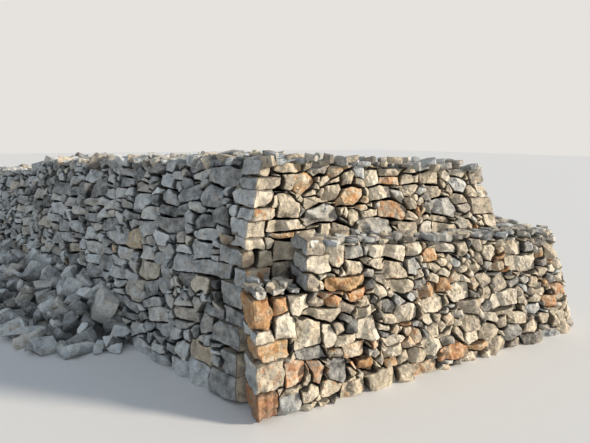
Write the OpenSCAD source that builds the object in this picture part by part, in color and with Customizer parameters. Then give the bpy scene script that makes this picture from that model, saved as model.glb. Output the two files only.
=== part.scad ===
// Dry stone wall, laid without mortar: a battered main wall, a lower bench
// built round its foot and right end, a step at the near corner, and an arm
// that turns away at an open angle and runs on in equal lengths.
// The origin is the setting-out point, where the centre lines of the main wall
// and the arm cross on the ground. The main wall runs along +X.

/* [Main wall] */
// Length from the setting-out point to the right end, on the ground
main_length = 2840; // [2300:10:4200]
// Thickness on the ground
main_base_w = 1320; // [1150:10:1700]
// Height above the setting-out point, cope included
main_height = 2090; // [1800:10:2500]
// Fall of the top, in millimetres per metre of length
main_fall = 53; // [0:1:70]
// Lean of the front face, in millimetres per metre of height
front_batter = 118; // [60:1:160]
// Lean of the back face, in millimetres per metre of height
back_batter = 100; // [60:1:150]
// Lean of the right end, in millimetres per metre of height
end_batter = 200; // [60:1:240]

/* [Bench] */
// How far the bench stands out from the main wall, on the ground
bench_depth = 300; // [260:5:420]
// Height at its left end
bench_height = 1410; // [1200:10:1500]
// Fall of the top, in millimetres per metre of length
bench_fall = 58; // [0:1:80]
// Lean of the front face, in millimetres per metre of height
bench_batter = 86; // [50:1:110]
// How far the bench runs past the right end of the main wall, on the ground
bench_past_end = 1040; // [900:10:1300]
// Lean of the right end, in millimetres per metre of height
bench_end_batter = 440; // [200:5:480]
// Radius of the rounded right end, on the ground
bench_round = 480; // [440:10:700]
// How much that radius shrinks, in millimetres per metre of height
bench_round_taper = 120; // [0:5:125]
// Number of corner stones at the open left end, above the step
bench_quoins = 3; // [2:1:4]
// Length along the front of its long corner stones
bench_quoin_long = 330; // [280:5:420]
// Length along the front of its short corner stones
bench_quoin_short = 240; // [200:5:270]

/* [Step] */
// Width of the step along the front
step_w = 470; // [400:5:700]
// How far the step's tread lies below the top of the bench's left end
step_drop = 335; // [250:5:500]
// How far the step's left side lies left of the setting-out point
step_left = 415; // [380:5:450]
// Heights of its corner stones, from the footing up, as shares of the height they fill
step_quoin_h = [255, 165, 135, 190];
// Lengths of its corner stones along the front, from the footing up
step_quoin_w = [330, 400, 350, 350];

/* [Arm] */
// Angle of the arm from the main wall, in degrees
arm_angle = 115; // [100:1:125]
// Distance from the setting-out point to where its first length is counted from
arm_start = 450; // [300:10:600]
// Thickness on the ground
arm_base_w = 1450; // [1250:10:1700]
// Number of equal lengths
arm_bays = 3; // [1:1:6]
// Length of each, along the arm
bay_length = 1875; // [1000:5:2000]
// Height at the start of the arm, cope included
arm_height = 2070; // [1750:10:2400]
// Fall of the top, in millimetres per metre of length
arm_fall = 30; // [0:1:40]
// Drop of the top where the slumped lengths begin
arm_drop = 130; // [0:5:250]
// Number of lengths before the drop
arm_sound_bays = 2; // [1:1:6]
// Lean of the outer face below the shoulder, in millimetres per metre of height
arm_batter = 156; // [100:1:180]
// Lean of the outer face above the shoulder, in millimetres per metre of height
shoulder_batter = 340; // [160:5:360]
// Height of the shoulder
shoulder_height = 1400; // [1200:10:1500]

/* [Masonry] */
// Thickness of a face, one stone deep
leaf = 230; // [180:5:260]
// Height of the footing course
footing_h = 220; // [150:5:300]
// Thickness of the loose cope on the main wall and the arm
cope_t = 150; // [100:5:200]
// Thickness of the flat stones that cover the bench and the step
cover_t = 110; // [80:5:140]
// Height of a course of corner stones
quoin_h = 165; // [120:5:220]
// Length of a corner stone's long side
quoin_long = 420; // [340:5:480]
// How far the long corner stones of the arm's end run back into its faces
end_tie = 190; // [100:5:400]

/* [Tumbled stones] */
// Width of the heap at the foot of the arm
heap_w = 700; // [400:10:900]
// Height of the heap against the arm
heap_h = 520; // [300:10:700]
// Distance from the start of the arm to the heap
heap_start = 850; // [600:10:900]
// Length over which the heap rises from the ground at its near end
heap_rise = 450; // [200:10:600]

/* [Hidden] */

per_m = 1000;
reach = 9000;
sky = 3000;
bench_sky = 1600;
slice = 1;
arc = 32;
near_share = 0.15;

bench_left = step_w - step_left;
step_height = bench_height - step_drop;
bench_front_y = -main_base_w / 2 - bench_depth;
bench_right = main_length + bench_past_end;
round_start = bench_right - bench_sky * bench_end_batter / per_m - bench_round;
arm_end = arm_start + arm_bays * bay_length;

limestone = "#c4b18e";
sun_bleached = "#d6c7a4";
rusty = "#c08a5a";
grey = "#97948a";
dark = "#6f685c";

// Shared outlines

// An outline in Y and Z, run from x0 to x1 along X
module run_x(x0, x1) {
    translate([x0, 0, 0]) rotate([90, 0, 90]) linear_extrude(x1 - x0) children();
}

// An outline in X and Z, run right through along Y
module run_y() {
    translate([0, reach, 0]) rotate([90, 0, 0]) linear_extrude(2 * reach) children();
}

// What lies between two levels
module between(low, high) {
    intersection() {
        children();
        translate([-reach, -reach, low]) cube([2 * reach, 2 * reach, high - low]);
    }
}

// Everything between two lines of a cross-section
module section(line_a, line_b) {
    polygon(concat(line_a, turned(line_b)));
}

function turned(line) = [for (k = [len(line) - 1:-1:0]) line[k]];

// A face as a line in Y and Z that leans by so much per metre
function leaning(foot, lean) = [[foot, 0], [foot + sky * lean / per_m, sky]];

// Front and back face of the main wall and front face of the bench, set in
function main_front(set_in) = leaning(set_in - main_base_w / 2, front_batter);
function main_back(set_in) = leaning(main_base_w / 2 - set_in, -back_batter);
function bench_front(set_in) = leaning(bench_front_y + set_in, bench_batter);

// Outer and inner face of the arm, set in; the outer one leans more above its shoulder
function arm_outer(set_in) =
    let (foot = arm_base_w / 2 - set_in)
    let (shoulder = foot - shoulder_height * arm_batter / per_m)
    [
        [foot, 0],
        [shoulder, shoulder_height],
        [shoulder - (sky - shoulder_height) * shoulder_batter / per_m, sky]
    ];
function arm_inner(set_in) = leaning(set_in - arm_base_w / 2, back_batter);

// Main wall

// Level of the main wall's top, or of a line below it
function main_top(x, drop) = main_height - drop - x * main_fall / per_m;

// Where the right end, set in, meets the top or a line below it
function main_top_end(set_in, drop) =
    (main_length - set_in - main_top(0, drop) * end_batter / per_m)
    / (1 - end_batter / per_m * main_fall / per_m);

// All that lies above a level, below the top, and left of the right end set in
module main_side(set_in, low, drop) {
    end = main_top_end(set_in, drop);
    run_y() polygon([
        [-reach, low],
        [main_length - set_in - low * end_batter / per_m, low],
        [end, main_top(end, drop)],
        [-reach, main_top(-reach, drop)]
    ]);
}

// All that lies inside the left face, where the arm's outer face runs on, set in
module inside_left(set_in) {
    rotate([0, 0, arm_angle]) run_x(-reach, reach)
        section(arm_outer(set_in), [[-reach, 0], [-reach, sky]]);
}

// Part of the main wall between two lines of its cross-section
module main_piece(near, far, left = 0, right = 0, low = footing_h, drop = cope_t) {
    intersection() {
        run_x(-reach, reach) section(near, far);
        main_side(right, low, drop);
        inside_left(left);
    }
}

module main_footing() {
    color(grey) between(0, footing_h) main_piece(main_front(0), main_back(0), low = 0);
}

// Courses of the corner: even ones run long along the front, odd ones along the return
module quoin_courses(first) {
    courses = ceil((main_height - footing_h) / quoin_h);
    for (i = [first:2:courses]) {
        low = footing_h + i * quoin_h;
        between(low, low + quoin_h) children();
    }
}

// Corner stones, laid long and short in turn, so that each ties the two faces
module main_corner_quoins() {
    color(sun_bleached) difference() {
        main_piece(main_front(0), main_back(0));
        quoin_courses(0) union() {
            inside_left(quoin_long);
            run_x(-reach, reach) section(main_front(leaf), main_back(-reach));
        }
        quoin_courses(1) union() {
            inside_left(leaf);
            run_x(-reach, reach) section(main_front(quoin_long), main_back(-reach));
        }
    }
}

// All that lies beyond the right end's face, set in
module beyond_right(set_in) {
    run_y() polygon([
        [main_length - set_in, 0],
        [main_length + reach, 0],
        [main_length + reach, sky],
        [main_length - set_in - sky * end_batter / per_m, sky]
    ]);
}

module main_front_face() {
    color(limestone) difference() {
        main_piece(main_front(0), main_front(leaf), left = leaf);
        quoin_courses(0) difference() {
            inside_left(-reach);
            inside_left(quoin_long);
        }
        quoin_courses(0) beyond_right(quoin_long);
    }
}

module main_left_return() {
    color(grey) difference() {
        intersection() {
            main_piece(main_front(leaf), main_back(0));
            rotate([0, 0, arm_angle]) run_x(-reach, reach)
                section(arm_outer(-leaf), arm_outer(leaf));
        }
        quoin_courses(1) run_x(-reach, reach) section(main_front(-reach), main_front(quoin_long));
    }
}

// The right end: its corner stones run long into the front and back faces on even
// courses, and on odd ones those faces run out to the corners
module main_right_end() {
    color(limestone) difference() {
        intersection() {
            main_piece(main_front(0), main_back(0));
            beyond_right(quoin_long);
        }
        quoin_courses(0) main_piece(main_front(leaf), main_back(leaf), left = -reach, right = leaf,
            low = -slice, drop = -leaf);
        quoin_courses(1) union() {
            main_piece(main_front(-reach), main_back(-reach), left = -reach, right = leaf,
                low = -slice, drop = -leaf);
            run_x(-reach, reach) section(main_front(-reach), main_front(leaf));
            run_x(-reach, reach) section(main_back(leaf), main_back(-reach));
        }
    }
}

module main_back_face() {
    color(grey) difference() {
        main_piece(main_back(leaf), main_back(0), left = leaf);
        quoin_courses(0) beyond_right(quoin_long);
    }
}

module main_hearting() {
    color(dark) main_piece(main_front(leaf), main_back(leaf), left = leaf, right = leaf);
}

module main_cope() {
    low_end = main_top_end(0, cope_t);
    high_end = main_top_end(0, 0);
    color(grey) intersection() {
        run_x(-reach, reach) section(main_front(0), main_back(0));
        inside_left(0);
        run_y() polygon([
            [-reach, main_top(-reach, cope_t)],
            [low_end, main_top(low_end, cope_t)],
            [high_end, main_top(high_end, 0)],
            [-reach, main_top(-reach, 0)]
        ]);
    }
}

// Everything behind the main wall's back face
module beyond_main() {
    run_x(-reach, reach) section(main_back(0), [[reach, 0], [reach, sky]]);
}

// Bench

// Level of the bench's top, or of a line below it
function bench_top(x, drop) = bench_height - drop - (x - bench_left) * bench_fall / per_m;

// A side view of the bench from one place along X to another, between two levels
// or, with no lowest level, between a line below the top and the top
module bench_side(from, to, low, drop = 0) {
    run_y() polygon([
        [from, is_undef(low) ? bench_top(from, cover_t) : low],
        [to, is_undef(low) ? bench_top(to, cover_t) : low],
        [to, bench_top(to, drop)],
        [from, bench_top(from, drop)]
    ]);
}

// Straight part of the bench between two lines of its cross-section
module bench_strip(from, to, near, far, low, drop = 0) {
    intersection() {
        run_x(from, to) section(near, far);
        bench_side(from, to, low, drop);
    }
}

// Plan of the bench's right end at one level, its outer faces set in
module bench_end_plan(z, set_in) {
    front = bench_front_y + z * bench_batter / per_m + set_in;
    back = main_base_w / 2 - z * back_batter / per_m - set_in;
    right = bench_right - z * bench_end_batter / per_m - set_in;
    round_r = max(slice, bench_round - z * bench_round_taper / per_m - set_in);
    translate([0, 0, z]) linear_extrude(slice) hull() {
        translate([round_start, front]) square([slice, back - front]);
        translate([right - round_r, front + round_r]) circle(round_r, $fn = arc);
        translate([right - round_r, back - round_r]) circle(round_r, $fn = arc);
    }
}

// The right end: battered and rounded, wrapped round the end of the main wall
module bench_end(set_in, low, drop = 0) {
    difference() {
        intersection() {
            hull() {
                bench_end_plan(0, set_in);
                bench_end_plan(bench_sky, set_in);
            }
            bench_side(round_start, reach, low, drop);
        }
        main_piece(main_front(0), main_back(-reach), left = -reach, low = -slice, drop = -leaf);
    }
}

module bench_footing() {
    color(grey) {
        between(0, footing_h)
            bench_strip(-step_left, round_start, bench_front(0), main_front(0), 0);
        between(0, footing_h) bench_end(0, 0);
    }
}

// Lengths of the corner stones at the open left end, above the step
module bench_quoin_blocks(out = 0) {
    course = (bench_height - cover_t - step_height) / bench_quoins;
    for (i = [0:bench_quoins - 1]) {
        top = i == bench_quoins - 1 ? sky : course;
        w = i % 2 == 0 ? bench_quoin_long : bench_quoin_short;
        translate([bench_left - out, -reach, step_height + i * course])
            cube([w + out, 2 * reach, top]);
    }
}

module bench_left_quoins() {
    far = bench_left + bench_quoin_long + bench_quoin_short;
    color(sun_bleached) intersection() {
        bench_strip(bench_left, far, bench_front(0), main_front(0), footing_h, cover_t);
        bench_quoin_blocks();
    }
}

module bench_front_face() {
    color(limestone) difference() {
        bench_strip(bench_left, round_start, bench_front(0), bench_front(leaf), footing_h, cover_t);
        bench_quoin_blocks(leaf);
    }
}

module bench_round_end() {
    color(rusty) difference() {
        bench_end(0, footing_h, cover_t);
        bench_end(leaf, -slice, -leaf);
    }
}

module bench_hearting() {
    color(dark) {
        difference() {
            bench_strip(bench_left, round_start, bench_front(leaf), main_front(0), footing_h, cover_t);
            bench_quoin_blocks(leaf);
        }
        bench_end(leaf, footing_h, cover_t);
    }
}

module bench_cover() {
    color(limestone) {
        bench_strip(bench_left, round_start, bench_front(0), main_front(0));
        bench_end(0);
    }
}

// Step

// Sum of the first so many numbers of a list
function sum_of(list, n) = n == 0 ? 0 : sum_of(list, n - 1) + list[n - 1];

// Level of the bottom of one of the near corner's stones
function step_level(i) =
    footing_h + (step_height - cover_t - footing_h)
    * sum_of(step_quoin_h, i) / sum_of(step_quoin_h, len(step_quoin_h));

// The step between two places along X and two levels
module step_block(from, to, low, high) {
    between(low, high) run_x(from, to) section(bench_front(0), main_front(0));
}

module step_corner_quoins() {
    color(rusty) for (i = [0:len(step_quoin_h) - 1])
        step_block(-step_left, step_quoin_w[i] - step_left, step_level(i), step_level(i + 1));
}

module step_face() {
    color(limestone) for (i = [0:len(step_quoin_h) - 1])
        step_block(step_quoin_w[i] - step_left, bench_left, step_level(i), step_level(i + 1));
}

module step_cover() {
    color(sun_bleached) step_block(-step_left, bench_left, step_height - cover_t, step_height);
}

// Arm, in equal lengths, each in the arm's own line

function arm_from(i) = i == 1 ? 0 : arm_start + (i - 1) * bay_length;
function arm_to(i) = arm_start + i * bay_length;
function arm_top(i, s) =
    arm_height - (s - arm_start) * arm_fall / per_m - (i > arm_sound_bays ? arm_drop : 0);

// Levels of the top at both ends of one length, or of a line below it
function arm_tops(i, drop = 0) = [arm_top(i, arm_from(i)) - drop, arm_top(i, arm_to(i)) - drop];

// A cross-section of the arm from one line to another, run along one length
// between two levels, each given at both ends; the first starts at the main wall
module arm_piece(i, from_line, to_line, low, high) {
    from = arm_from(i);
    to = arm_to(i);
    intersection() {
        rotate([0, 0, arm_angle]) run_x(from, to)
            section(from_line, to_line);
        rotate([0, 0, arm_angle]) run_y()
            polygon([[from, low[0]], [to, low[1]], [to, high[1]], [from, high[0]]]);
        if (i == 1) beyond_main();
    }
}

module arm_footing(i) {
    level = [footing_h, footing_h];
    color(grey) arm_piece(i, arm_outer(0), arm_inner(0), [0, 0], level);
}

// Even courses of the arm's last stretch, where the end's long corner stones lie
module end_ties() {
    rotate([0, 0, arm_angle]) quoin_courses(0) run_x(arm_end - end_tie, arm_end + leaf)
        translate([-reach / 2, 0]) square([reach, sky]);
}

module arm_outer_face(i) {
    level = [footing_h, footing_h];
    color(grey) difference() {
        arm_piece(i, arm_outer(0), arm_outer(leaf), level, arm_tops(i, cope_t));
        if (i == arm_bays) end_ties();
    }
}

module arm_inner_face(i) {
    level = [footing_h, footing_h];
    color(limestone) difference() {
        arm_piece(i, arm_inner(0), arm_inner(leaf), level, arm_tops(i, cope_t));
        if (i == arm_bays) end_ties();
    }
}

module arm_hearting(i) {
    level = [footing_h, footing_h];
    color(dark) arm_piece(i, arm_outer(leaf), arm_inner(leaf), level, arm_tops(i, cope_t));
}

module arm_cope(i) {
    color(grey) arm_piece(i, arm_outer(0), arm_inner(0), arm_tops(i, cope_t), arm_tops(i));
}

// Plain upright face that closes the far end of the arm; on even courses its corner
// stones run back into the outer and inner faces
module arm_end_face() {
    top = arm_top(arm_bays, arm_end);
    tie_top = arm_top(arm_bays, arm_end - end_tie);
    color(limestone) rotate([0, 0, arm_angle]) difference() {
        intersection() {
            run_x(arm_end - end_tie, arm_end + reach) section(arm_outer(0), arm_inner(0));
            run_y() polygon([
                [arm_end, 0],
                [arm_end + leaf + top * back_batter / per_m, 0],
                [arm_end + leaf, top],
                [arm_end, top],
                [arm_end, top - cope_t],
                [arm_end - end_tie, tie_top - cope_t],
                [arm_end - end_tie, footing_h],
                [arm_end, footing_h]
            ]);
        }
        quoin_courses(0) run_x(arm_end - reach, arm_end) section(arm_outer(leaf), arm_inner(leaf));
        quoin_courses(1) run_x(arm_end - reach, arm_end) section(arm_outer(-reach), arm_inner(-reach));
    }
}

// Outline of the heap against the outer face of the arm, or of a share of it
function heap_outline(share) =
    let (foot = arm_base_w / 2)
    [
        [foot, 0],
        [foot + share * heap_w, 0],
        [foot + share * heap_w / 2, share * heap_h / 2],
        [foot - share * heap_h * arm_batter / per_m, share * heap_h]
    ];

// Stones slumped from the top, heaped against the outer face of the arm; the heap rises
// from the ground at its near end
module tumbled_stones(i) {
    near = arm_start + heap_start;
    full = near + heap_rise;
    color(grey) rotate([0, 0, arm_angle]) intersection() {
        union() {
            if (arm_from(i) < full)
                hull() {
                    run_x(near, near + slice) polygon(heap_outline(near_share));
                    run_x(full - slice, full) polygon(heap_outline(1));
                }
            run_x(full - slice, max(full, arm_end)) polygon(heap_outline(1));
        }
        run_x(arm_from(i), arm_to(i)) translate([-reach / 2, -slice]) square([reach, sky]);
    }
}

main_footing();
main_front_face();
main_left_return();
main_right_end();
main_back_face();
main_hearting();
main_cope();
main_corner_quoins();
bench_footing();
bench_front_face();
bench_round_end();
bench_hearting();
bench_cover();
bench_left_quoins();
step_corner_quoins();
step_face();
step_cover();
arm_end_face();
for (i = [1:arm_bays]) {
    arm_footing(i);
    arm_outer_face(i);
    arm_inner_face(i);
    arm_hearting(i);
    arm_cope(i);
    tumbled_stones(i);
}
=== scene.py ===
"""Looks of the dry stone wall: every stone, laid on the faces that the frame gives, in metres."""
import math

import bmesh
import bpy
import numpy as np
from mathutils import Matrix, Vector
from mathutils.geometry import delaunay_2d_cdt


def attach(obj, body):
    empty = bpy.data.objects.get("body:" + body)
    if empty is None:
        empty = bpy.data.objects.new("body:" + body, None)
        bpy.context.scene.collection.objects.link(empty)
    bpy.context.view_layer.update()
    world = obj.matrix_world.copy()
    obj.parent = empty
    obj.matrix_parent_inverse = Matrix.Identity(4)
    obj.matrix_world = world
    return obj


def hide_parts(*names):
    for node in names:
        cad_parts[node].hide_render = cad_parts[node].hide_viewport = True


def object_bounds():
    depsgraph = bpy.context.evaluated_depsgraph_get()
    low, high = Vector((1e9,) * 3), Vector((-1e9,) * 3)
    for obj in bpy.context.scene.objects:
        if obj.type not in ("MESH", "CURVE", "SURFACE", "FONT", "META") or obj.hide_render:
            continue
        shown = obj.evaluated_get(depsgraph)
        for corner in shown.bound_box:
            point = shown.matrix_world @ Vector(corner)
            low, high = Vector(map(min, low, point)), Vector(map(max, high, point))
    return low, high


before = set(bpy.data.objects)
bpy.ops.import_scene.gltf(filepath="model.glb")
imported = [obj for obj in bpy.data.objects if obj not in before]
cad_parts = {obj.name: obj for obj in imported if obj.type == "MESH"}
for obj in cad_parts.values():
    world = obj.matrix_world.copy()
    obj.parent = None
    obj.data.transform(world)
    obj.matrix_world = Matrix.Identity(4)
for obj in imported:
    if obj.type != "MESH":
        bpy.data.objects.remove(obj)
cad_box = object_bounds()


# Hearting: the small packed stones between the two faces of each wall. They are the same
# limestone, broken small and thrown in as the faces go up, and show only deep in the joints, so
# they are painted near-black as the shade there. The frame's own hearting solids stay and get this finish.

def linear(code):
    """An sRGB hex colour as linear red, green, blue and alpha."""
    parts = [int(code[k:k + 2], 16) / 255 for k in (1, 3, 5)]
    return tuple(c / 12.92 if c <= 0.04045 else ((c + 0.055) / 1.055) ** 2.4 for c in parts) + (1.0,)


def add(tree, kind, inputs=None, **settings):
    """A new node with its settings, and its inputs set to values or linked from sockets."""
    node = tree.nodes.new(kind)
    for name, value in settings.items():
        setattr(node, name, value)
    for name, value in (inputs or {}).items():
        if isinstance(value, bpy.types.NodeSocket):
            tree.links.new(value, node.inputs[name])
        else:
            node.inputs[name].default_value = value
    return node


def new_finish(name):
    """An empty material and its node tree."""
    material = bpy.data.materials.new(name)
    material.use_nodes = True
    material.node_tree.nodes.clear()
    return material, material.node_tree


def packed_rubble():
    """Packed limestone hearting, painted dark as the shade deep in the joints: dusty, lumps of 40 to 80 mm,
    darker between them.
    """
    material, tree = new_finish("packed_limestone_hearting")
    where = add(tree, "ShaderNodeTexCoord").outputs["Object"]
    lumps = add(tree, "ShaderNodeTexVoronoi", {"Vector": where, "Scale": 1 / 0.06, "Randomness": 0.9})
    dust = add(tree, "ShaderNodeTexNoise", {"Vector": where, "Scale": 1 / 0.02, "Detail": 5.0})
    # The ramp runs from dark brown to near-black, darkest between the lumps: painted shade of the deep
    # joints.
    ramp = add(tree, "ShaderNodeValToRGB", {"Fac": lumps.outputs["Distance"]})
    ramp.color_ramp.elements[0].color = linear("#40382c")
    ramp.color_ramp.elements[1].color = linear("#17130e")
    ramp.color_ramp.elements[1].position = 0.7
    weathering_and_painted_shade = add(tree, "ShaderNodeMix",
               {"Factor": 0.35, "A": ramp.outputs["Color"], "B": dust.outputs["Color"]},
               data_type="RGBA", blend_type="MULTIPLY")
    relief = add(tree, "ShaderNodeBump", {"Height": lumps.outputs["Distance"], "Distance": 0.02}, invert=True)
    surface = add(tree, "ShaderNodeBsdfPrincipled",
                  {"Base Color": weathering_and_painted_shade.outputs["Result"], "Normal": relief.outputs["Normal"],
                   "Roughness": 0.95, "IOR": 1.5})
    add(tree, "ShaderNodeOutputMaterial", {"Surface": surface.outputs["BSDF"]})
    return material


hearting = packed_rubble()
hearting_nodes = [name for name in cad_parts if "hearting" in name]
for name in hearting_nodes:
    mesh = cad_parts[name].data
    mesh.materials.clear()
    mesh.materials.append(hearting)


# Bench front, its rounded end and the back of both walls: limestone rubble gathered from the
# field, laid dry by hand in rough courses. Each stone is bedded on two below, its best face
# out, its tail in the hearting, and small stones pin the gaps.

# A face is shared out to its stones on a grid of small cells. Seven columns make the step and
# 28 rows the left end of the bench; the main wall has 41 rows.
STEP_WIDE, BENCH_HIGH = 0.47, 1.41
PITCH, COURSE = STEP_WIDE / 7, BENCH_HIGH / 28
STEP_ROWS, BENCH_ROWS, WALL_ROWS = 20, 28, 41
WALL_HIGH = WALL_ROWS * COURSE
FOOTING_HIGH = 4.4 * COURSE
# How far a stone's tail reaches into the wall
TAIL = 0.17

# Sizes of stones in cells, across and up, each with how often it is laid
SIZES = [((3, 3), 15), ((4, 3), 18), ((3, 2), 10), ((4, 2), 10), ((2, 2), 5), ((2, 3), 6), ((5, 3), 12),
         ((4, 4), 11), ((3, 4), 8), ((5, 2), 7), ((1, 2), 2.4), ((2, 1), 2.8), ((3, 1), 0.9),
         ((1, 1), 1.2), ((5, 4), 7)]
FLAT_SIZES = [((3, 2), 6), ((4, 2), 13), ((5, 2), 18), ((6, 2), 14), ((7, 2), 6), ((3, 3), 6), ((4, 3), 16),
              ((5, 3), 20), ((6, 3), 16), ((7, 3), 7), ((5, 4), 8), ((4, 4), 4), ((2, 2), 3), ((2, 1), 2),
              ((3, 1), 3), ((4, 1), 2.5), ((2, 3), 2), ((1, 2), 0.8), ((1, 1), 0.4)]

# Marks of the cells that no stone has: still free, left open, a corner stone's, off the grid
FREE, OPEN, CORNER, OUTSIDE = -1, -2, -3, -9


def share_out(columns, rows, chance, closed, kept, sizes):
    """Fill a grid of cells with stones, bottom up, so that no upright joint runs on.

    A size is drawn less often where it leaves one cell beside or above it, where it ends over
    a joint, and where its top is level with its neighbour's."""
    narrow_gap, thin_bed, running_joint, level_top = 0.08, 0.15, 0.12, 0.45
    owner = np.full((rows, columns), FREE)
    owner[closed] = OPEN
    stones = []

    def put(c, r, w, h, looks=None):
        owner[r:r + h, c:c + w] = len(stones)
        stones.append((c, r, w, h, looks))

    for stone in kept:
        put(*stone)
    for r in range(rows):
        c = 0
        while c < columns:
            if owner[r, c] != FREE:
                c += 1
                continue
            run = 1
            while c + run < columns and owner[r, c + run] == FREE:
                run += 1
            fits, weights = [], []
            for (w, h), weight in sizes:
                if w > run or r + h > rows or (owner[r:r + h, c:c + w] != FREE).any():
                    continue
                if run - w == 1:
                    weight *= narrow_gap
                if rows - r - h == 1:
                    weight *= thin_bed
                right = c + w
                if r and right < columns and owner[r - 1, right - 1] != owner[r - 1, right]:
                    weight *= running_joint
                if c and owner[r, c - 1] >= 0:
                    _, low, _, tall, _ = stones[owner[r, c - 1]]
                    if low + tall == r + h:
                        weight *= level_top
                fits.append((w, h))
                weights.append(weight)
            weights = np.cumsum(weights)
            w, h = fits[int(np.searchsorted(weights, chance.random() * weights[-1]))]
            put(c, r, w, h)
            c += w
    return owner, stones


# Long waves that the courses follow: radians a metre across and up, height, and whose phase
WAVES_ACROSS = ((4.3, 6.1, 1.0, 0), (-7.9, 5.2, 1.0, 1), (5.3, 15.1, 0.7, 4))
WAVES_UP = ((6.7, 2.3, 1.0, 2), (10.3, -4.1, 1.0, 3), (15.7, 6.9, 0.7, 5))


def swayed(x, y, waves, phases):
    """How far the waves move a place."""
    return sum(height * math.sin(a * x + b * y + phases[k]) for a, b, height, k in waves)


def loosen(owner, chance, sway):
    """Places of the points where three stones meet, moved so that no joint runs straight."""
    # Shifts in cells: either way, along a joint, off a bed, off an upright joint, at a top edge
    either_way, along, off_bed, off_joint, ragged = 0.8, 1.1, 0.75, 0.5, -0.9
    rows, columns = owner.shape
    wide = np.pad(owner, 1, constant_values=OUTSIDE)
    phases = chance.uniform(0, 2 * math.pi, 8)
    places = {}
    for r in range(rows + 1):
        for c in range(columns + 1):
            below_left, below_right = wide[r, c], wide[r, c + 1]
            above_left, above_right = wide[r + 1, c], wide[r + 1, c + 1]
            corners = (below_left, below_right, above_left, above_right)
            around = set(corners)
            if len(around) == 1 or len(around) == 2 and corners.count(below_left) == 2:
                continue
            draw = chance.random(4)
            across, up = (draw[0] - 0.5) * either_way, (draw[1] - 0.5) * either_way
            if below_left == below_right:
                across, up = (draw[0] - 0.5) * along, draw[2] * off_bed - 0.05
            elif above_left == above_right:
                across, up = (draw[0] - 0.5) * along, 0.05 - draw[2] * off_bed
            elif below_left == above_left:
                across, up = draw[2] * off_joint, (draw[1] - 0.5) * along
            elif below_right == above_right:
                across, up = -draw[2] * off_joint, (draw[1] - 0.5) * along
            fade = min(1.0, min(c, columns - c) / 5, min(r, rows - r) / 3)
            if CORNER in around:
                across = up = fade = 0.0
            if r in (0, rows) or OUTSIDE in around and c not in (0, columns):
                up = ragged * draw[1] if r else 0.0
            if c in (0, columns):
                across = 0.0
            if OPEN in around:
                across = fade = 0.0
                top_edge = min(above_left, above_right) == OPEN and min(below_left, below_right) >= 0
                up = ragged * draw[3] if top_edge else 0.0
            x, y = c * PITCH, r * COURSE
            places[c, r] = (x + across * PITCH + sway * fade * swayed(x, y, WAVES_ACROSS, phases) * 0.5,
                            y + up * COURSE + sway * fade * swayed(x, y, WAVES_UP, phases) * 0.45)
    return places


def outline_of(stone, places):
    """The stone's outline, anticlockwise, with every point where its neighbours meet it."""
    c, r, w, h, _ = stone
    ring = [(c + k, r) for k in range(w)] + [(c + w, r + k) for k in range(h)]
    ring += [(c + w - k, r + h) for k in range(w)] + [(c, r + h - k) for k in range(h)]
    return np.array([places[p] for p in ring if p in places])


def inside(spots, ring, clear):
    """Which places lie within a ring, at least a distance clear of its edges."""
    nxt = np.roll(ring, -1, 0)
    edge = nxt - ring
    apart = spots[:, None] - ring[None]
    share = np.clip((apart * edge).sum(2) / ((edge ** 2).sum(1) + 1e-12), 0, 1)
    near = np.linalg.norm(apart - share[..., None] * edge, axis=2).min(1)
    level = spots[:, None, 1]
    spans = (ring[:, 1] > level) != (nxt[:, 1] > level)
    rise = np.where(np.abs(edge[:, 1]) < 1e-9, 1e-9, edge[:, 1])
    crossing = ring[:, 0] + (level - ring[:, 1]) / rise * edge[:, 0]
    return ((spans & (spots[:, None, 0] < crossing)).sum(1) % 2 == 1) & (near > clear)


def broken_net(ring, step, chance):
    """Triangles over a ring's inside, on scattered points, as a broken face would split."""
    row_step, scatter, clear = step * 0.87, 0.3, step * 0.42
    low, high = ring.min(0), ring.max(0)
    across, up = np.meshgrid(np.arange(low[0], high[0], step), np.arange(low[1], high[1], row_step))
    across[1::2] += step / 2
    spots = np.column_stack([across.ravel(), up.ravel()])
    spots += chance.uniform(-scatter, scatter, spots.shape) * step
    spots = spots[inside(spots, ring, clear)]
    if len(spots) == 0:
        spots = ring.mean(0)[None]
    flat = np.concatenate([ring, spots])
    net = delaunay_2d_cdt([Vector(p) for p in flat], [], [list(range(len(ring)))], 1, 1e-7)
    triangles = np.array(net[2])
    if len(net[0]) != len(flat) or triangles.ndim != 2:
        # A ring that the net can't be fitted to is fanned from its middle
        here = np.arange(len(ring))
        flat = np.concatenate([ring, ring.mean(0)[None]])
        triangles = np.column_stack([here, (here + 1) % len(ring), np.full(len(ring), len(ring))])
    a, b, c = (flat[triangles[:, k]] for k in range(3))
    turned = (b[:, 0] - a[:, 0]) * (c[:, 1] - a[:, 1]) < (b[:, 1] - a[:, 1]) * (c[:, 0] - a[:, 0])
    triangles[turned] = triangles[turned][:, ::-1]
    return flat[len(ring):], triangles


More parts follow.
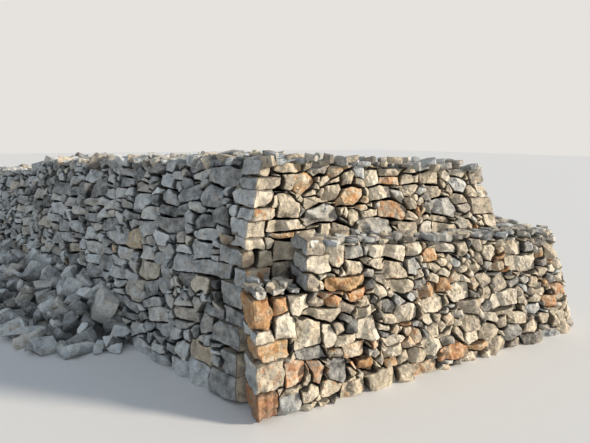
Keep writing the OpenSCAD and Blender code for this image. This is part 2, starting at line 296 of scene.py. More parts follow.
def joint_ring(outline, chance, gap, step):
    """A stone's outline, drawn in by the joint, its corners knocked off and its sides uneven.

    Most joints are tight and a few gape: the width is a power of a chance."""
    after, before = np.roll(outline, -1, 0), np.roll(outline, 1, 0)
    ahead, behind = after - outline, outline - before
    ahead /= np.linalg.norm(ahead, axis=1)[:, None] + 1e-9
    behind /= np.linalg.norm(behind, axis=1)[:, None] + 1e-9
    inward = np.stack([-(ahead + behind)[:, 1], (ahead + behind)[:, 0]], 1)
    half = np.maximum(0.45, np.linalg.norm(inward, axis=1) / 2)
    inward /= 2 * half[:, None] ** 2
    drawn = outline + inward * gap * (0.1 + 2.9 * chance.random((len(outline), 1)) ** 2.4)
    ring = []
    for k, point in enumerate(drawn):
        to_next, to_prev = drawn[(k + 1) % len(drawn)] - point, drawn[k - 1] - point
        len_next, len_prev = np.linalg.norm(to_next), np.linalg.norm(to_prev)
        room = min(len_next, len_prev)
        straight_on = ahead[k] @ behind[k] >= 0.9
        cut = room * 0.1 if straight_on else room * chance.uniform(0.02, 0.2)
        cut = min(cut, chance.uniform(0.001, 0.02))
        cut_next = min(cut * chance.uniform(0.4, 1.9), len_next * 0.45)
        ring += [point + to_prev / len_prev * cut, point + to_next / len_next * cut_next]
    fine = []
    for k, a in enumerate(ring):
        b = ring[(k + 1) % len(ring)]
        length = np.linalg.norm(b - a)
        parts = max(1, int(round(length / step)))
        side = np.array([b[1] - a[1], a[0] - b[0]]) / (length + 1e-9)
        belly = chance.uniform(-0.03, 0.015) * length
        for j in range(parts):
            bow = 0.0 if j == 0 else chance.uniform(-0.005, 0.002)
            fine.append(a + (b - a) * j / parts + side * (bow + belly * math.sin(math.pi * j / parts)))
    ring = np.array(fine)
    return ring[np.linalg.norm(np.roll(ring, -1, 0) - ring, axis=1) > 0.004]


def split_face(local, spread, size, relief, rough, chance):
    """How far each place of a face stands out: cleft planes, chips off its edge, low waves.

    rough says which places also get a grain of their own."""
    tilt = chance.normal(0, 0.12, 2)
    out = local @ tilt
    for _ in range(chance.integers(2, 6)):
        heading = chance.uniform(0, 2 * math.pi)
        toward = np.array([math.cos(heading), math.sin(heading)])
        start = chance.uniform(0.0, 0.38) * size
        slope = chance.uniform(0.15, 1.05)
        out = np.minimum(out, local @ tilt - slope * (local @ toward - start))
    for _ in range(chance.integers(1, 4)):
        place = spread[chance.integers(len(spread))] + 1e-6
        toward = place / np.linalg.norm(place)
        start = np.linalg.norm(place) - chance.uniform(0.008, 0.035)
        out = np.minimum(out, local @ tilt - chance.uniform(0.7, 1.8) * (local @ toward - start))
    # Two long waves and two short ones: their least and most length, and their share of the relief
    for least, most, share in ((0.08, 0.2, 0.45), (0.08, 0.2, 0.45), (0.03, 0.06, 0.25), (0.03, 0.06, 0.25)):
        wave = chance.normal(0, 1, 2)
        wave *= 2 * math.pi / chance.uniform(least, most) / np.linalg.norm(wave)
        out += relief * share * np.sin(local @ wave + chance.uniform(0, 6.28))
    return out + chance.normal(0, relief * 0.4, len(out)) * rough


def hewn(outline, chance, gap, step, tail):
    """One stone's points (across, up, out), faces, and darkening by grime and painted shade, for its outline
    on the wall's face.

    The face's highest place is set back a little from 0, and it falls away at its rim. Behind
    it the sides draw in to a blunt tail."""
    deepest, set_back, relief = -0.075, 0.035, 0.006
    ring = joint_ring(outline, chance, gap, step)
    count = len(ring)
    centre = ring.mean(0)
    spread = ring - centre
    reach = np.linalg.norm(spread, axis=1)[:, None]
    size = math.sqrt(max(1e-4, np.ptp(ring[:, 0]) * np.ptp(ring[:, 1])))
    rim = min(0.007, size * 0.055) * chance.uniform(0.25, 1.2)
    brow = centre + spread * np.maximum(0.55, 1 - 0.8 * rim / reach)
    spots, net = broken_net(brow, step, chance)

    flat = np.concatenate([ring, brow, spots])
    fall = np.concatenate([np.full(count, rim), np.full(count, rim * 0.12), np.zeros(len(spots))])
    out = split_face(flat - centre, spread, size, relief, fall < rim, chance) - fall
    out -= out.max() + chance.uniform(0.0, 1.0) ** 2 * set_back
    out = np.maximum(out, deepest)

    depth = tail * chance.uniform(0.85, 1.1)
    lip = centre + spread * 0.99
    middle = centre + spread * chance.uniform(0.95, 0.98)
    back = centre + spread * 0.86
    points = np.concatenate([
        np.column_stack([flat, out]),
        np.column_stack([lip, out[:count] - 0.02]),
        np.column_stack([middle, out[:count] - depth * 0.45]),
        np.column_stack([back, np.full(count, -depth)]),
        [[centre[0], centre[1], -depth]],
    ])
    here = np.arange(count)
    nxt = (here + 1) % count
    waist = len(flat)
    quads = np.concatenate([
        np.column_stack([here, nxt, nxt + count, here + count]),
        np.column_stack([nxt, here, here + waist, nxt + waist]),
        np.column_stack([nxt + waist, here + waist, here + waist + count, nxt + waist + count]),
        np.column_stack([nxt, here, here + count, nxt + count]) + waist + count,
    ])
    rear = np.column_stack([nxt, here, np.full(count, count)]) + waist + 2 * count
    # The rim and the tail's sides, deep in the joints, are darkened: grime and painted shade of the joints.
    dirt = np.concatenate([np.full(count, 0.15), np.zeros(waist - count), np.ones(3 * count + 1)])
    return points, quads, np.concatenate([net + count, rear]), dirt


def on_face(face, across, up, out):
    """Points set out from a wall's face, square to it."""
    small = 0.01
    base = face(across, up)
    along = face(across + small, up) - face(across - small, up)
    rise = face(across, up + small) - face(across, up - small)
    normal = np.cross(along, rise)
    normal /= np.linalg.norm(normal, axis=1)[:, None]
    normal[normal @ normal.sum(0) < 0] *= -1
    return base + normal * out[:, None]


class Heap:
    """Stones gathered into one mesh, with each stone's tone, rust and seed, and its darkening by grime and
    painted shade by point.
    """

    def __init__(self):
        self.points, self.faces, self.looks, self.dirt, self.total = [], [], [], [], 0

    def lay(self, points, faces, looks, dirt):
        """Add a stone or several; looks is one row for them all, or a row a point."""
        for block in faces:
            self.faces.extend((block + self.total).tolist())
        self.points.append(points)
        self.looks.append(np.broadcast_to(looks, (len(points), 3)))
        self.dirt.append(np.zeros(len(points)) + dirt)
        self.total += len(points)

    def piece(self, name, node_names, slot):
        """The heap as one finished piece, trued to the ground and kept under the top of the frame's box."""
        near_ground, under_top, sharp = 0.012, 0.002, 13
        points = np.concatenate(self.points)
        level = np.minimum(points[:, 2], cad_box[1][2] - under_top)
        points[:, 2] = np.where(points[:, 2] < near_ground, 0.0, level)
        mesh = bpy.data.meshes.new(name)
        mesh.from_pydata(points.tolist(), [], self.faces)
        looks = mesh.attributes.new("stone", "FLOAT_VECTOR", "POINT")
        looks.data.foreach_set("vector", np.concatenate(self.looks).astype(np.float32).ravel())
        dirt = mesh.attributes.new("joint_dirt", "FLOAT", "POINT")
        dirt.data.foreach_set("value", np.concatenate(self.dirt).astype(np.float32))
        mesh.materials.append(limestone)
        mesh.shade_smooth()
        mesh.set_sharp_from_angle(angle=math.radians(sharp))
        piece = bpy.data.objects.new(name, mesh)
        bpy.context.scene.collection.objects.link(piece)
        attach(piece, "root")
        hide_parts(*node_names)


def field_limestone(name):
    """Field limestone with its weathered skin: dull and hard, cream to grey, split and pitted,
    with rusty iron stains on some stones and paler bruised edges, and painted shade in its pits,
    cracks, hollows and joints. Not polished anywhere."""
    material, tree = new_finish(name)
    place = add(tree, "ShaderNodeTexCoord").outputs["Object"]
    stone = add(tree, "ShaderNodeAttribute", attribute_name="stone", attribute_type="GEOMETRY")
    parts = add(tree, "ShaderNodeSeparateXYZ", {"Vector": stone.outputs["Vector"]})
    tone, rust, seed = parts.outputs["X"], parts.outputs["Y"], parts.outputs["Z"]

    # Each stone takes its patterns from its own far place, so that none runs on over a joint
    shift = add(tree, "ShaderNodeCombineXYZ", {"X": seed, "Y": tone, "Z": seed})
    far = add(tree, "ShaderNodeVectorMath", {0: shift.outputs["Vector"], 1: (31.0, 17.0, 23.0)},
              operation="MULTIPLY")
    own = add(tree, "ShaderNodeVectorMath", {0: place, 1: far.outputs["Vector"]},
              operation="ADD").outputs["Vector"]

    # Clouds of 90 mm, mottling of 28 mm, grain of 9 mm, patches of 65 mm, pits of 13 mm
    clouds, mottle, grain, patches = (
        add(tree, "ShaderNodeTexNoise", {"Vector": own, "Scale": 1 / size, "Detail": detail,
                                         "Roughness": roughness, "Distortion": distortion})
        for size, detail, roughness, distortion in ((0.09, 4.0, 0.6, 0.0), (0.028, 6.0, 0.7, 0.0),
                                                    (0.009, 4.0, 0.7, 0.0), (0.065, 4.5, 0.62, 0.45)))
    pits = add(tree, "ShaderNodeTexVoronoi", {"Vector": own, "Scale": 1 / 0.013})

    # Clefts: the stone splits into flats of about 45 mm, each tilted its own way
    bent = add(tree, "ShaderNodeVectorMath", {0: mottle.outputs["Color"], 1: (0.022, 0.022, 0.022), 2: own},
               operation="MULTIPLY_ADD").outputs["Vector"]
    flats = add(tree, "ShaderNodeTexVoronoi", {"Vector": bent, "Scale": 1 / 0.045})
    from_middle = add(tree, "ShaderNodeVectorMath", {0: bent, 1: flats.outputs["Position"]},
                      operation="SUBTRACT")
    lean = add(tree, "ShaderNodeVectorMath", {0: flats.outputs["Color"], 1: (0.5, 0.5, 0.5)},
               operation="SUBTRACT")
    cleft = add(tree, "ShaderNodeVectorMath", {0: from_middle.outputs["Vector"], 1: lean.outputs["Vector"]},
                operation="DOT_PRODUCT").outputs["Value"]

    # Cracks: 75 mm apart, and only where the clouds are thin
    seams = add(tree, "ShaderNodeTexVoronoi", {"Vector": bent, "Scale": 1 / 0.075},
                feature="DISTANCE_TO_EDGE")
    crack = add(tree, "ShaderNodeMapRange", {"Value": seams.outputs["Distance"], "From Min": 0.0,
                                             "From Max": 0.03})
    some = add(tree, "ShaderNodeMapRange", {"Value": clouds.outputs["Fac"], "From Min": 0.40,
                                            "From Max": 0.46})
    cracked = add(tree, "ShaderNodeMath", {0: crack.outputs["Result"], 1: some.outputs["Result"]},
                  operation="MAXIMUM")

    # The clean stone, from its darkest grey to its palest cream by the stone's tone
    moved = add(tree, "ShaderNodeMath", {0: clouds.outputs["Fac"], 1: 1.3, 2: -0.65},
                operation="MULTIPLY_ADD")
    mixed = add(tree, "ShaderNodeMath", {0: tone, 1: moved.outputs["Value"]}, operation="ADD",
                use_clamp=True)
    skin = add(tree, "ShaderNodeValToRGB", {"Fac": mixed.outputs["Value"]})
    shades = ["#5f5a51", "#827b70", "#a0978a", "#b8ab97", "#cbbda4", "#d9cbb2", "#e5dac5"]
    ramp = skin.color_ramp
    while len(ramp.elements) < len(shades):
        ramp.elements.new(0.5)
    for k, shade in enumerate(shades):
        ramp.elements[k].position = k / (len(shades) - 1)
        ramp.elements[k].color = linear(shade)

    # Stones with rust below 0 are the cool grey ones; on the faces in shade this cool grey also paints the
    # sky-lit shade
    cooler = add(tree, "ShaderNodeMapRange", {"Value": patches.outputs["Fac"], "From Min": 0.36,
                                              "From Max": 0.6, "To Min": -0.55, "To Max": -1.2})
    cool = add(tree, "ShaderNodeMath", {0: rust, 1: cooler.outputs["Result"]}, operation="MULTIPLY",
               use_clamp=True)
    greyed = add(tree, "ShaderNodeMix", {"Factor": cool.outputs["Value"], "A": skin.outputs["Color"],
                                         "B": linear("#a5a9a9")}, data_type="RGBA", blend_type="COLOR")

    # Iron stains: from ochre at their rim to red-brown inside, where the stone has any
    rusty = add(tree, "ShaderNodeMath", {0: rust, 1: 0.0}, operation="MAXIMUM")
    start = add(tree, "ShaderNodeMath", {0: rusty.outputs["Value"], 1: -0.60, 2: 0.74},
                operation="MULTIPLY_ADD")
    amount = add(tree, "ShaderNodeMapRange", {"Value": patches.outputs["Fac"],
                                              "From Min": start.outputs["Value"], "From Max": 0.86})
    wide = add(tree, "ShaderNodeMath", {0: amount.outputs["Result"], 1: 2.6}, operation="MULTIPLY",
               use_clamp=True)
    ochre = add(tree, "ShaderNodeValToRGB", {"Fac": amount.outputs["Result"]})
    stains = ochre.color_ramp.elements
    stains[0].color = linear("#d9bf9a")
    stains[1].color = linear("#99603f")
    for position, shade in ((0.42, "#d3a471"), (0.68, "#c28352")):
        stains.new(position).color = linear(shade)
    redness = add(tree, "ShaderNodeMapRange", {"Value": seed, "To Min": 0.489, "To Max": 0.507})
    vivid = add(tree, "ShaderNodeMapRange", {"Value": clouds.outputs["Fac"], "From Min": 0.3,
                                             "From Max": 0.7, "To Min": 0.82, "To Max": 1.05})
    deeper = add(tree, "ShaderNodeMapRange", {"Value": tone, "To Min": 0.52, "To Max": 1.06})
    varied = add(tree, "ShaderNodeHueSaturation", {"Hue": redness.outputs["Result"],
                                                   "Saturation": vivid.outputs["Result"],
                                                   "Value": deeper.outputs["Result"],
                                                   "Color": ochre.outputs["Color"]})
    stained = add(tree, "ShaderNodeMix", {"Factor": wide.outputs["Value"], "A": greyed.outputs["Result"],
                                          "B": varied.outputs["Color"]}, data_type="RGBA")

    # Lichen and dust darken the grain. Pits, cracks and hollows are darkened as painted shade; the
    # arrises are paler with wear, and the joint attribute darkens with grime and painted shade.
    # Each row: what is read, its low and high value, and the brightness at those
    bend = add(tree, "ShaderNodeNewGeometry")
    grime_and_shade_read = add(tree, "ShaderNodeAttribute", attribute_name="joint_dirt", attribute_type="GEOMETRY")
    speck, spots, hole, line, arris, dirtied_and_shaded = (
        add(tree, "ShaderNodeMapRange", {"Value": value, "From Min": low, "From Max": high,
                                         "To Min": at_low, "To Max": at_high}).outputs["Result"]
        for value, low, high, at_low, at_high in (
            (grain.outputs["Fac"], 0.3, 0.7, 0.8, 1.22), (mottle.outputs["Fac"], 0.32, 0.66, 0.84, 1.2),
            (pits.outputs["Distance"], 0.05, 0.22, 0.62, 1.0), (cracked.outputs["Value"], 0.0, 1.0, 0.5, 1.0),
            (bend.outputs["Pointiness"], 0.43, 0.58, 0.74, 1.16),
            (grime_and_shade_read.outputs["Fac"], 0.0, 1.0, 1.0, 0.34)))
    weathering_and_painted_shade = speck
    for share in (spots, hole, line, arris, dirtied_and_shaded):
        weathering_and_painted_shade = add(tree, "ShaderNodeMath", {0: weathering_and_painted_shade, 1: share}, operation="MULTIPLY").outputs["Value"]
    weathering_and_painted_shade = add(tree, "ShaderNodeMath", {0: weathering_and_painted_shade, 1: 1.12}, operation="MINIMUM").outputs["Value"]
    grimed_and_shaded = add(tree, "ShaderNodeMix", {"Factor": 1.0, "A": stained.outputs["Result"], "B": weathering_and_painted_shade},
                 data_type="RGBA", blend_type="MULTIPLY")

    # Relief, from the clefts to the pits: what is read, its depth in metres, its strength
    normal = {}
    for height, depth, strength in ((cleft, 1.0, 0.8), (cracked.outputs["Value"], 0.006, 0.8),
                                    (patches.outputs["Fac"], 0.03, 0.9), (grain.outputs["Fac"], 0.007, 0.9),
                                    (hole, 0.003, 0.6)):
        bump = add(tree, "ShaderNodeBump",
                   {"Height": height, "Distance": depth, "Strength": strength, **normal})
        normal = {"Normal": bump.outputs["Normal"]}
    dull = add(tree, "ShaderNodeMapRange", {"Value": clouds.outputs["Fac"], "To Min": 0.78, "To Max": 0.96})
    surface = add(tree, "ShaderNodeBsdfPrincipled",
                  {"Base Color": grimed_and_shaded.outputs["Result"], "Roughness": dull.outputs["Result"],
                   "IOR": 1.5, **normal})
    add(tree, "ShaderNodeOutputMaterial", {"Surface": surface.outputs["BSDF"]})
    return material


limestone = field_limestone("weathered_field_limestone")


def looks_from(mix, chance):
    """One stone's tone, rust and seed, from a mix of kinds: how often, tones, rust."""
    weights = np.cumsum([often for often, _, _ in mix])
    _, tones, stain = mix[int(np.searchsorted(weights, chance.random() * weights[-1]))]
    rust = np.clip(stain + chance.normal(0, 0.06 if stain > 0 else 0.2), -1, 1)
    return (chance.uniform(*tones), rust, chance.random())


def lay_face(heap_at, face, columns, rows, seed, mix, closed=(), kept=(), sway=0.032,
             gap=0.009, step=0.024, tail=TAIL, sizes=SIZES):
    """Lay one face of rubble; heap_at says which heap a stone with its middle there goes to."""
    chance = np.random.default_rng(seed)
    left_open = np.zeros((rows, columns), bool)
    corners = np.zeros((rows, columns), bool)
    for mark, c, r, w, h in closed:
        (corners if mark == CORNER else left_open)[r:r + h, c:c + w] = True
    owner, stones = share_out(columns, rows, chance, left_open | corners, kept, sizes)
    owner[corners] = CORNER
    places = loosen(owner, chance, sway)
    for stone in stones:
        outline = outline_of(stone, places)
        looks = (*stone[4], chance.random()) if stone[4] else looks_from(mix, chance)
        points, quads, fans, dirt = hewn(outline, chance, gap, step, tail)
        middle = outline.mean(0)
        placed = on_face(face, points[:, 0], points[:, 1], points[:, 2])
        heap_at(middle[0], middle[1]).lay(placed, (quads, fans), looks, dirt)


# The bench's planes and the two walls' planes: where each stands on the ground and how far it
# leans back for each metre up
STEP_LEFT, BENCH_LEFT = -0.415, 0.055
BENCH_FRONT, BENCH_BATTER = -0.96, 0.086
MAIN_FRONT, FRONT_BATTER = -0.66, 0.118
MAIN_BACK, BACK_BATTER = 0.66, 0.10
MAIN_RIGHT, END_BATTER = 2.84, 0.20
# The bench's rounded end: the middle of its arcs and their radius on the ground, what each
# loses for a metre up, and how far along the bench its top is measured
ARC_MIDDLE, ARC_LEAN = 3.40, 0.32
ARC_RADIUS, ARC_TAPER = 0.48, 0.12
END_TOP_AT = 3.3
# Where the main wall's top is measured at its right end, and where its back meets the arm
RIGHT_TOP_AT, ARM_TOP_AT = 2.45, 0.36
# Where the main wall's right end meets its back at the bench's top
BACK_CORNER = 2.588


def bench_front(z):
    """Where the bench's front stands at a height."""
    return BENCH_FRONT + BENCH_BATTER * z


def main_front_y(z):
    """Where the main wall's front stands at a height."""
    return MAIN_FRONT + FRONT_BATTER * z


def main_back_y(z):
    """Where the back of both walls stands at a height."""
    return MAIN_BACK - BACK_BATTER * z


def bench_top(x):
    """Level of the bench's top."""
    return 1.385 - 0.058 * (np.maximum(x, BENCH_LEFT) - BENCH_LEFT)


def main_top(x):
    """Level of the main wall's top."""
    return 2.04 - 0.053 * x


def right_end(z):
    """Where the main wall's right end stands; its lowest stones, on the bench, stick out."""
    return MAIN_RIGHT - END_BATTER * z + 0.09 * np.clip((1.72 - z) / 0.45, 0, 1)


# Cells along the bench's face, from the step's left side: its front, first arc, right side,
# second arc, the bench's back, and the main wall's back up to the arm. TURNS says where each ends.
STRETCHES = (57, 9, 10, 9, 12, 31)
TURNS = np.cumsum(STRETCHES) * PITCH


def share_of(across, start, end):
    """How far along a stretch a place is, from 0 to 1."""
    return np.clip((across - start) / (end - start), 0, 1)


def bench_face(across, up):
    """The bench's face: along the front, round its right end, and along the back of both walls."""
    front_end, arc_end, side_end, second_end, bench_end, wall_end = TURNS
    behind = share_of(across, second_end, bench_end)
    past = share_of(across, bench_end, wall_end)

    # The grid's rows are squeezed to the top of the wall that the place is on
    right_scale = bench_top(END_TOP_AT) / BENCH_HIGH
    scale = np.where(across < front_end, bench_top(STEP_LEFT + across) / BENCH_HIGH, right_scale)
    scale = scale + behind * (main_top(RIGHT_TOP_AT) / WALL_HIGH - right_scale)
    scale = scale + past * (main_top(ARM_TOP_AT) - main_top(RIGHT_TOP_AT)) / WALL_HIGH
    z = up * scale
    on_bench = (across > second_end) & (across <= bench_end + 0.001)
    x_back = ARC_MIDDLE - behind * (ARC_MIDDLE - BACK_CORNER)
    z = np.where(on_bench & (up > 26.5 * COURSE), bench_top(x_back) - (27 * COURSE - up), z)

    radius = ARC_RADIUS - ARC_TAPER * z
    middle = ARC_MIDDLE - ARC_LEAN * z
    front, back = bench_front(z), main_back_y(z)
    lean = share_of(across, 0.8, front_end) * ARC_LEAN * z
    x = np.where(across < front_end, STEP_LEFT + across * ((ARC_MIDDLE - STEP_LEFT) / front_end) - lean, 0.0)
    first = share_of(across, front_end, arc_end) * math.pi / 2
    side = share_of(across, arc_end, side_end)
    second = share_of(across, side_end, second_end) * math.pi / 2
    x = np.where(across >= front_end, middle + radius * np.sin(first), x)
    y = np.where(across < front_end, front, front + radius - radius * np.cos(first))
    y = np.where(across > arc_end, front + radius + side * (back - front - 2 * radius), y)
    x = np.where(across > side_end, middle + radius * np.cos(second), x)
    y = np.where(across > side_end, back - radius + radius * np.sin(second), y)
    # The bench's own lean dies out towards the main wall, whose right end leans above it
    main_end = right_end(np.maximum(z, 1.26))
    x = np.where(across > second_end, middle + behind * (BACK_CORNER - middle), x)
    inner = 0.44 - 0.064 * z
    x = np.where(across > bench_end, main_end + past * (inner - main_end), x)
    return np.column_stack([x, y, z])


def cells(*places):
    """Grid places of corner stones that a face leaves free: column, row, width, height."""
    return [(CORNER, *place) for place in places]


# The near corner's stones, and those of the bench's open left end above the step:
# first row, rows, length along the front in cells, tone, rust
NEAR_CORNER = [(0, 5, 3, 0.3, 0.85), (5, 5, 4, 0.78, 0.36), (10, 3, 5, 0.85, 0.72), (13, 2, 3, 0.93, 0.2),
               (15, 5, 3, 0.85, 0.95)]
BENCH_CORNER = [(20, 3, 2, 0.50, 0.05), (23, 3, 4, 0.97, 0.14), (26, 2, 3, 0.55, 0.04)]
# Stones that stand out on the bench front: column, row, width, height, (tone, rust)
BENCH_KEPT = [(3, 17, 2, 3, (0.75, 0.78)), (3, 13, 3, 4, (0.97, 0.05)), (5, 17, 3, 3, (0.99, 0.04)),
              (6, 10, 3, 5, (0.85, 0.2)), (9, 11, 2, 4, (0.98, 0.05)), (11, 10, 4, 2, (0.8, 0.05)),
              (15, 10, 3, 4, (0.95, 0.06)), (6, 8, 4, 2, (0.3, -0.5)), (4, 5, 2, 4, (0.75, 0.66)),
              (13, 7, 3, 3, (0.85, 0.5)), (15, 4, 2, 3, (0.25, 0.85)), (7, 4, 2, 4, (0.5, 0.6)),
              (9, 1, 3, 3, (0.75, 0.4)), (10, 4, 3, 4, (0.4, -0.5)), (10, 20, 6, 2, (0.8, 0.85)),
              (10, 24, 3, 4, (0.85, 0.35)), (29, 2, 5, 3, (0.8, 0.82)), (34, 2, 5, 2, (0.8, 0.78)),
              (46, 19, 7, 4, (0.97, 0.12)), (53, 9, 3, 3, (0.8, 0.76)), (56, 12, 3, 3, (0.8, 0.72)),
              (60, 10, 3, 3, (0.7, 0.74)), (21, 12, 4, 4, (0.9, 0.05)), (32, 14, 4, 4, (0.98, 0.1)),
              (26, 13, 5, 3, (0.85, 0.1)), (41, 11, 5, 4, (0.97, 0.15)), (27, 23, 3, 3, (0.8, 0.7))]
# Kinds of stone on the sunny side: how often, from which tone to which, rust
SUNNY = ((36, (0.64, 1.0), 0.12), (20, (0.42, 0.7), 0.18), (10, (0.12, 0.36), -0.3),
         (16, (0.35, 0.75), -0.55), (7, (0.5, 0.9), 0.74), (10, (0.45, 0.85), 0.46))

bench_parts = {name: Heap() for name in ("bench_footing", "bench_front_face", "bench_round_end", "step_face",
                                         "main_back_face", "main_footing")}


def bench_part(across, up):
    """The heap for a stone of the bench's face and of the back."""
    if across > TURNS[4]:
        return bench_parts["main_footing" if up < FOOTING_HIGH else "main_back_face"]
    if up < FOOTING_HIGH:
        return bench_parts["bench_footing"]
    if across < STEP_WIDE:
        return bench_parts["step_face"]
    return bench_parts["bench_front_face" if across < TURNS[0] - 0.6 else "bench_round_end"]


closed = cells(*[(0, r, w, h) for r, h, w, _, _ in NEAR_CORNER], (0, 20, 7, 1))
closed += cells(*[(7, r, w, h) for r, h, w, _, _ in BENCH_CORNER])
closed += [(OPEN, 0, 21, 7, 20), (OPEN, 7, 28, 78, 13), (OPEN, 85, 27, 12, 14)]
closed += cells((97, 27, 4, 3), (97, 30, 3, 3), (97, 33, 5, 3), (97, 36, 3, 3), (97, 39, 4, 2))
lay_face(bench_part, bench_face, sum(STRETCHES), WALL_ROWS, 11, SUNNY, closed=closed, kept=BENCH_KEPT)
for name, heap in bench_parts.items():
    piece_name = name.replace("main_back_face", "main_back") + "_stones"
    heap.piece(piece_name, [name], "footing_stone" if "footing" in name else "face_stone")


# Corner stones: the largest and squarest stones, roughly dressed, laid long and short in turn
# so that each ties the two faces that meet at the corner.
def dressed(frame_of, lengths, chance, rough):
    """A corner stone's points, faces, darkening by grime and painted shade, and which points are on its
    second side.

    frame_of takes shares along its three sides to a place."""
    arris, part, edge_pull, corner_pull, cuts, waves = 0.012, 0.032, 0.32, 0.5, 14, 3
    shares = []
    for length in lengths:
        parts = max(2, int(round(length / part)))
        inner = np.linspace(arris / length, 1 - arris / length, parts + 1)
        shares.append(np.concatenate([[0.0], inner, [1.0]]))
    sizes = [len(s) for s in shares]
    lookup, lattice, quads = {}, [], []

    def number(i, j, k):
        if (i, j, k) not in lookup:
            lookup[i, j, k] = len(lattice)
            lattice.append((i, j, k))
        return lookup[i, j, k]

    for axis in range(3):
        one, two = (axis + 1) % 3, (axis + 2) % 3
        for end in (0, sizes[axis] - 1):
            for a in range(sizes[one] - 1):
                for b in range(sizes[two] - 1):
                    loop = []
                    for da, db in ((0, 0), (1, 0), (1, 1), (0, 1)):
                        spot = [0, 0, 0]
                        spot[axis], spot[one], spot[two] = end, a + da, b + db
                        loop.append(number(*spot))
                    quads.append(loop if end else loop[::-1])
    lattice = np.array(lattice)
    size = np.array(lengths)
    spots = np.column_stack([shares[k][lattice[:, k]] for k in range(3)]) * size
    middle = size / 2
    rim = np.array([(lattice[:, k] == 0) | (lattice[:, k] == sizes[k] - 1) for k in range(3)]).T
    corner = rim.sum(1)[:, None]
    pull = np.where(corner == 2, edge_pull, np.where(corner == 3, corner_pull, 0.0)) * arris
    spots -= np.sign(spots - middle) * rim * pull
    local = spots - middle
    # Cuts across the corners and edges go deeper than those that are nearly square to a side
    for _ in range(cuts):
        heading = chance.normal(0, 1, 3)
        heading /= np.linalg.norm(heading)
        support = (np.abs(heading) * middle).sum()
        kept = chance.uniform(0.74, 0.96) if np.abs(heading).max() < 0.88 else chance.uniform(0.93, 1.0)
        local -= heading * np.maximum(0, local @ heading - support * kept)[:, None]
    for _ in range(waves):
        wave = chance.normal(0, 1, 3)
        wave *= 2 * math.pi / chance.uniform(0.07, 0.2) / np.linalg.norm(wave)
        inward = local / (np.linalg.norm(local, axis=1)[:, None] + 1e-6)
        local -= inward * (rough * (1 + np.sin(local @ wave + chance.uniform(0, 6.28))))[:, None]
    inward = local / (np.linalg.norm(local, axis=1)[:, None] + 1e-6)
    local -= inward * chance.uniform(0, rough, (len(local), 1))
    placed = frame_of((local + middle) / size)
    quads = np.array(quads)
    a, b, c = frame_of(np.eye(3)) - frame_of(np.zeros((1, 3)))
    if np.cross(a, b) @ c < 0:
        quads = quads[:, ::-1]
    # Beds and the far ends, which lie in the joints, are darkened: grime and painted shade of the joints.
    buried = (lattice[:, 0] == sizes[0] - 1) | (lattice[:, 1] == sizes[1] - 1)
    buried |= (lattice[:, 2] == 0) | (lattice[:, 2] == sizes[2] - 1)
    return placed, quads, buried * 0.75, lattice[:, 0] == 0


def corner_stone(heap, first, second, low, high, long_first, long_second, looks, chance, rough=0.006):
    """A stone across a corner. first and second give a place at a distance from the corner.

    Its second side is painted with shade: darker, and cool grey unless the stone is rusty; its first side
    keeps the stone's looks."""
    gap, overrun, most_skew, most_sag, most_inset = 0.009, 0.008, 0.06, 0.012, 0.035
    low, high = low - (gap if low > 0.001 else 0), high + gap
    skew = chance.uniform(-most_skew, most_skew, 3)
    sag = min(most_sag, (high - low) * 0.12)
    inset = chance.uniform(0, most_inset, 2) / (long_first, long_second)

    def frame_of(share):
        share = np.column_stack([inset + (1 - inset) * share[:, :2], share[:, 2]])
        up = low + share[:, 2] * (high - low) + sag * (share[:, 0] - 1) * skew[2] * 24
        edge = first(np.zeros(len(share)), up)
        along = first(np.full(len(share), long_first + overrun), up) - edge
        back = second(np.full(len(share), long_second + overrun), up) - edge
        along *= (1 - abs(skew[0]) + skew[0] * (2 * share[:, 2:] - 1))
        back *= (1 - abs(skew[1]) + skew[1] * (2 * share[:, 2:] - 1))
        return edge + along * share[:, :1] + back * share[:, 1:2]

    lengths = (long_first, long_second, high - low)
    placed, quads, dirt, second_side = dressed(frame_of, lengths, chance, rough)
    tone, rust = looks
    # Painted shade on the second side: a darker tone, and cool grey unless the stone is rusty
    shaded = (tone * 0.72, rust if rust > 0.5 else -0.85)
    own = np.where(second_side[:, None], shaded, (tone, rust))
    heap.lay(placed, (quads,), np.column_stack([own, np.full(len(own), chance.random())]), dirt)


def near_side(away, up):
    """The step's left side, from the near corner back to the main wall."""
    return np.column_stack([np.full(len(away), STEP_LEFT), bench_front(up) + away, up])


def bench_side(away, up):
    """The bench's open left side, above the step."""
    return np.column_stack([np.full(len(away), BENCH_LEFT), bench_front(up) + away, up])


chance = np.random.default_rng(5)
near_corner, bench_corner, step_cap = Heap(), Heap(), Heap()
for r, h, w, tone, rust in NEAR_CORNER:
    corner_stone(near_corner, bench_face, near_side, r * COURSE, (r + h) * COURSE, w * PITCH,
                 0.29 + 0.03 * r * COURSE, (tone, rust), chance)
for r, h, w, tone, rust in BENCH_CORNER:
    proud = 0.02 if r + h == BENCH_ROWS else 0
    corner_stone(bench_corner, lambda away, up: bench_face(away + STEP_WIDE, up), bench_side,
                 r * COURSE, (r + h) * COURSE + proud, w * PITCH, 0.33, (tone, rust), chance)
near_corner.piece("near_corner_stones", ["step_corner_quoins"], "corner_stone")
bench_corner.piece("bench_corner_stones", ["bench_left_quoins"], "corner_stone")

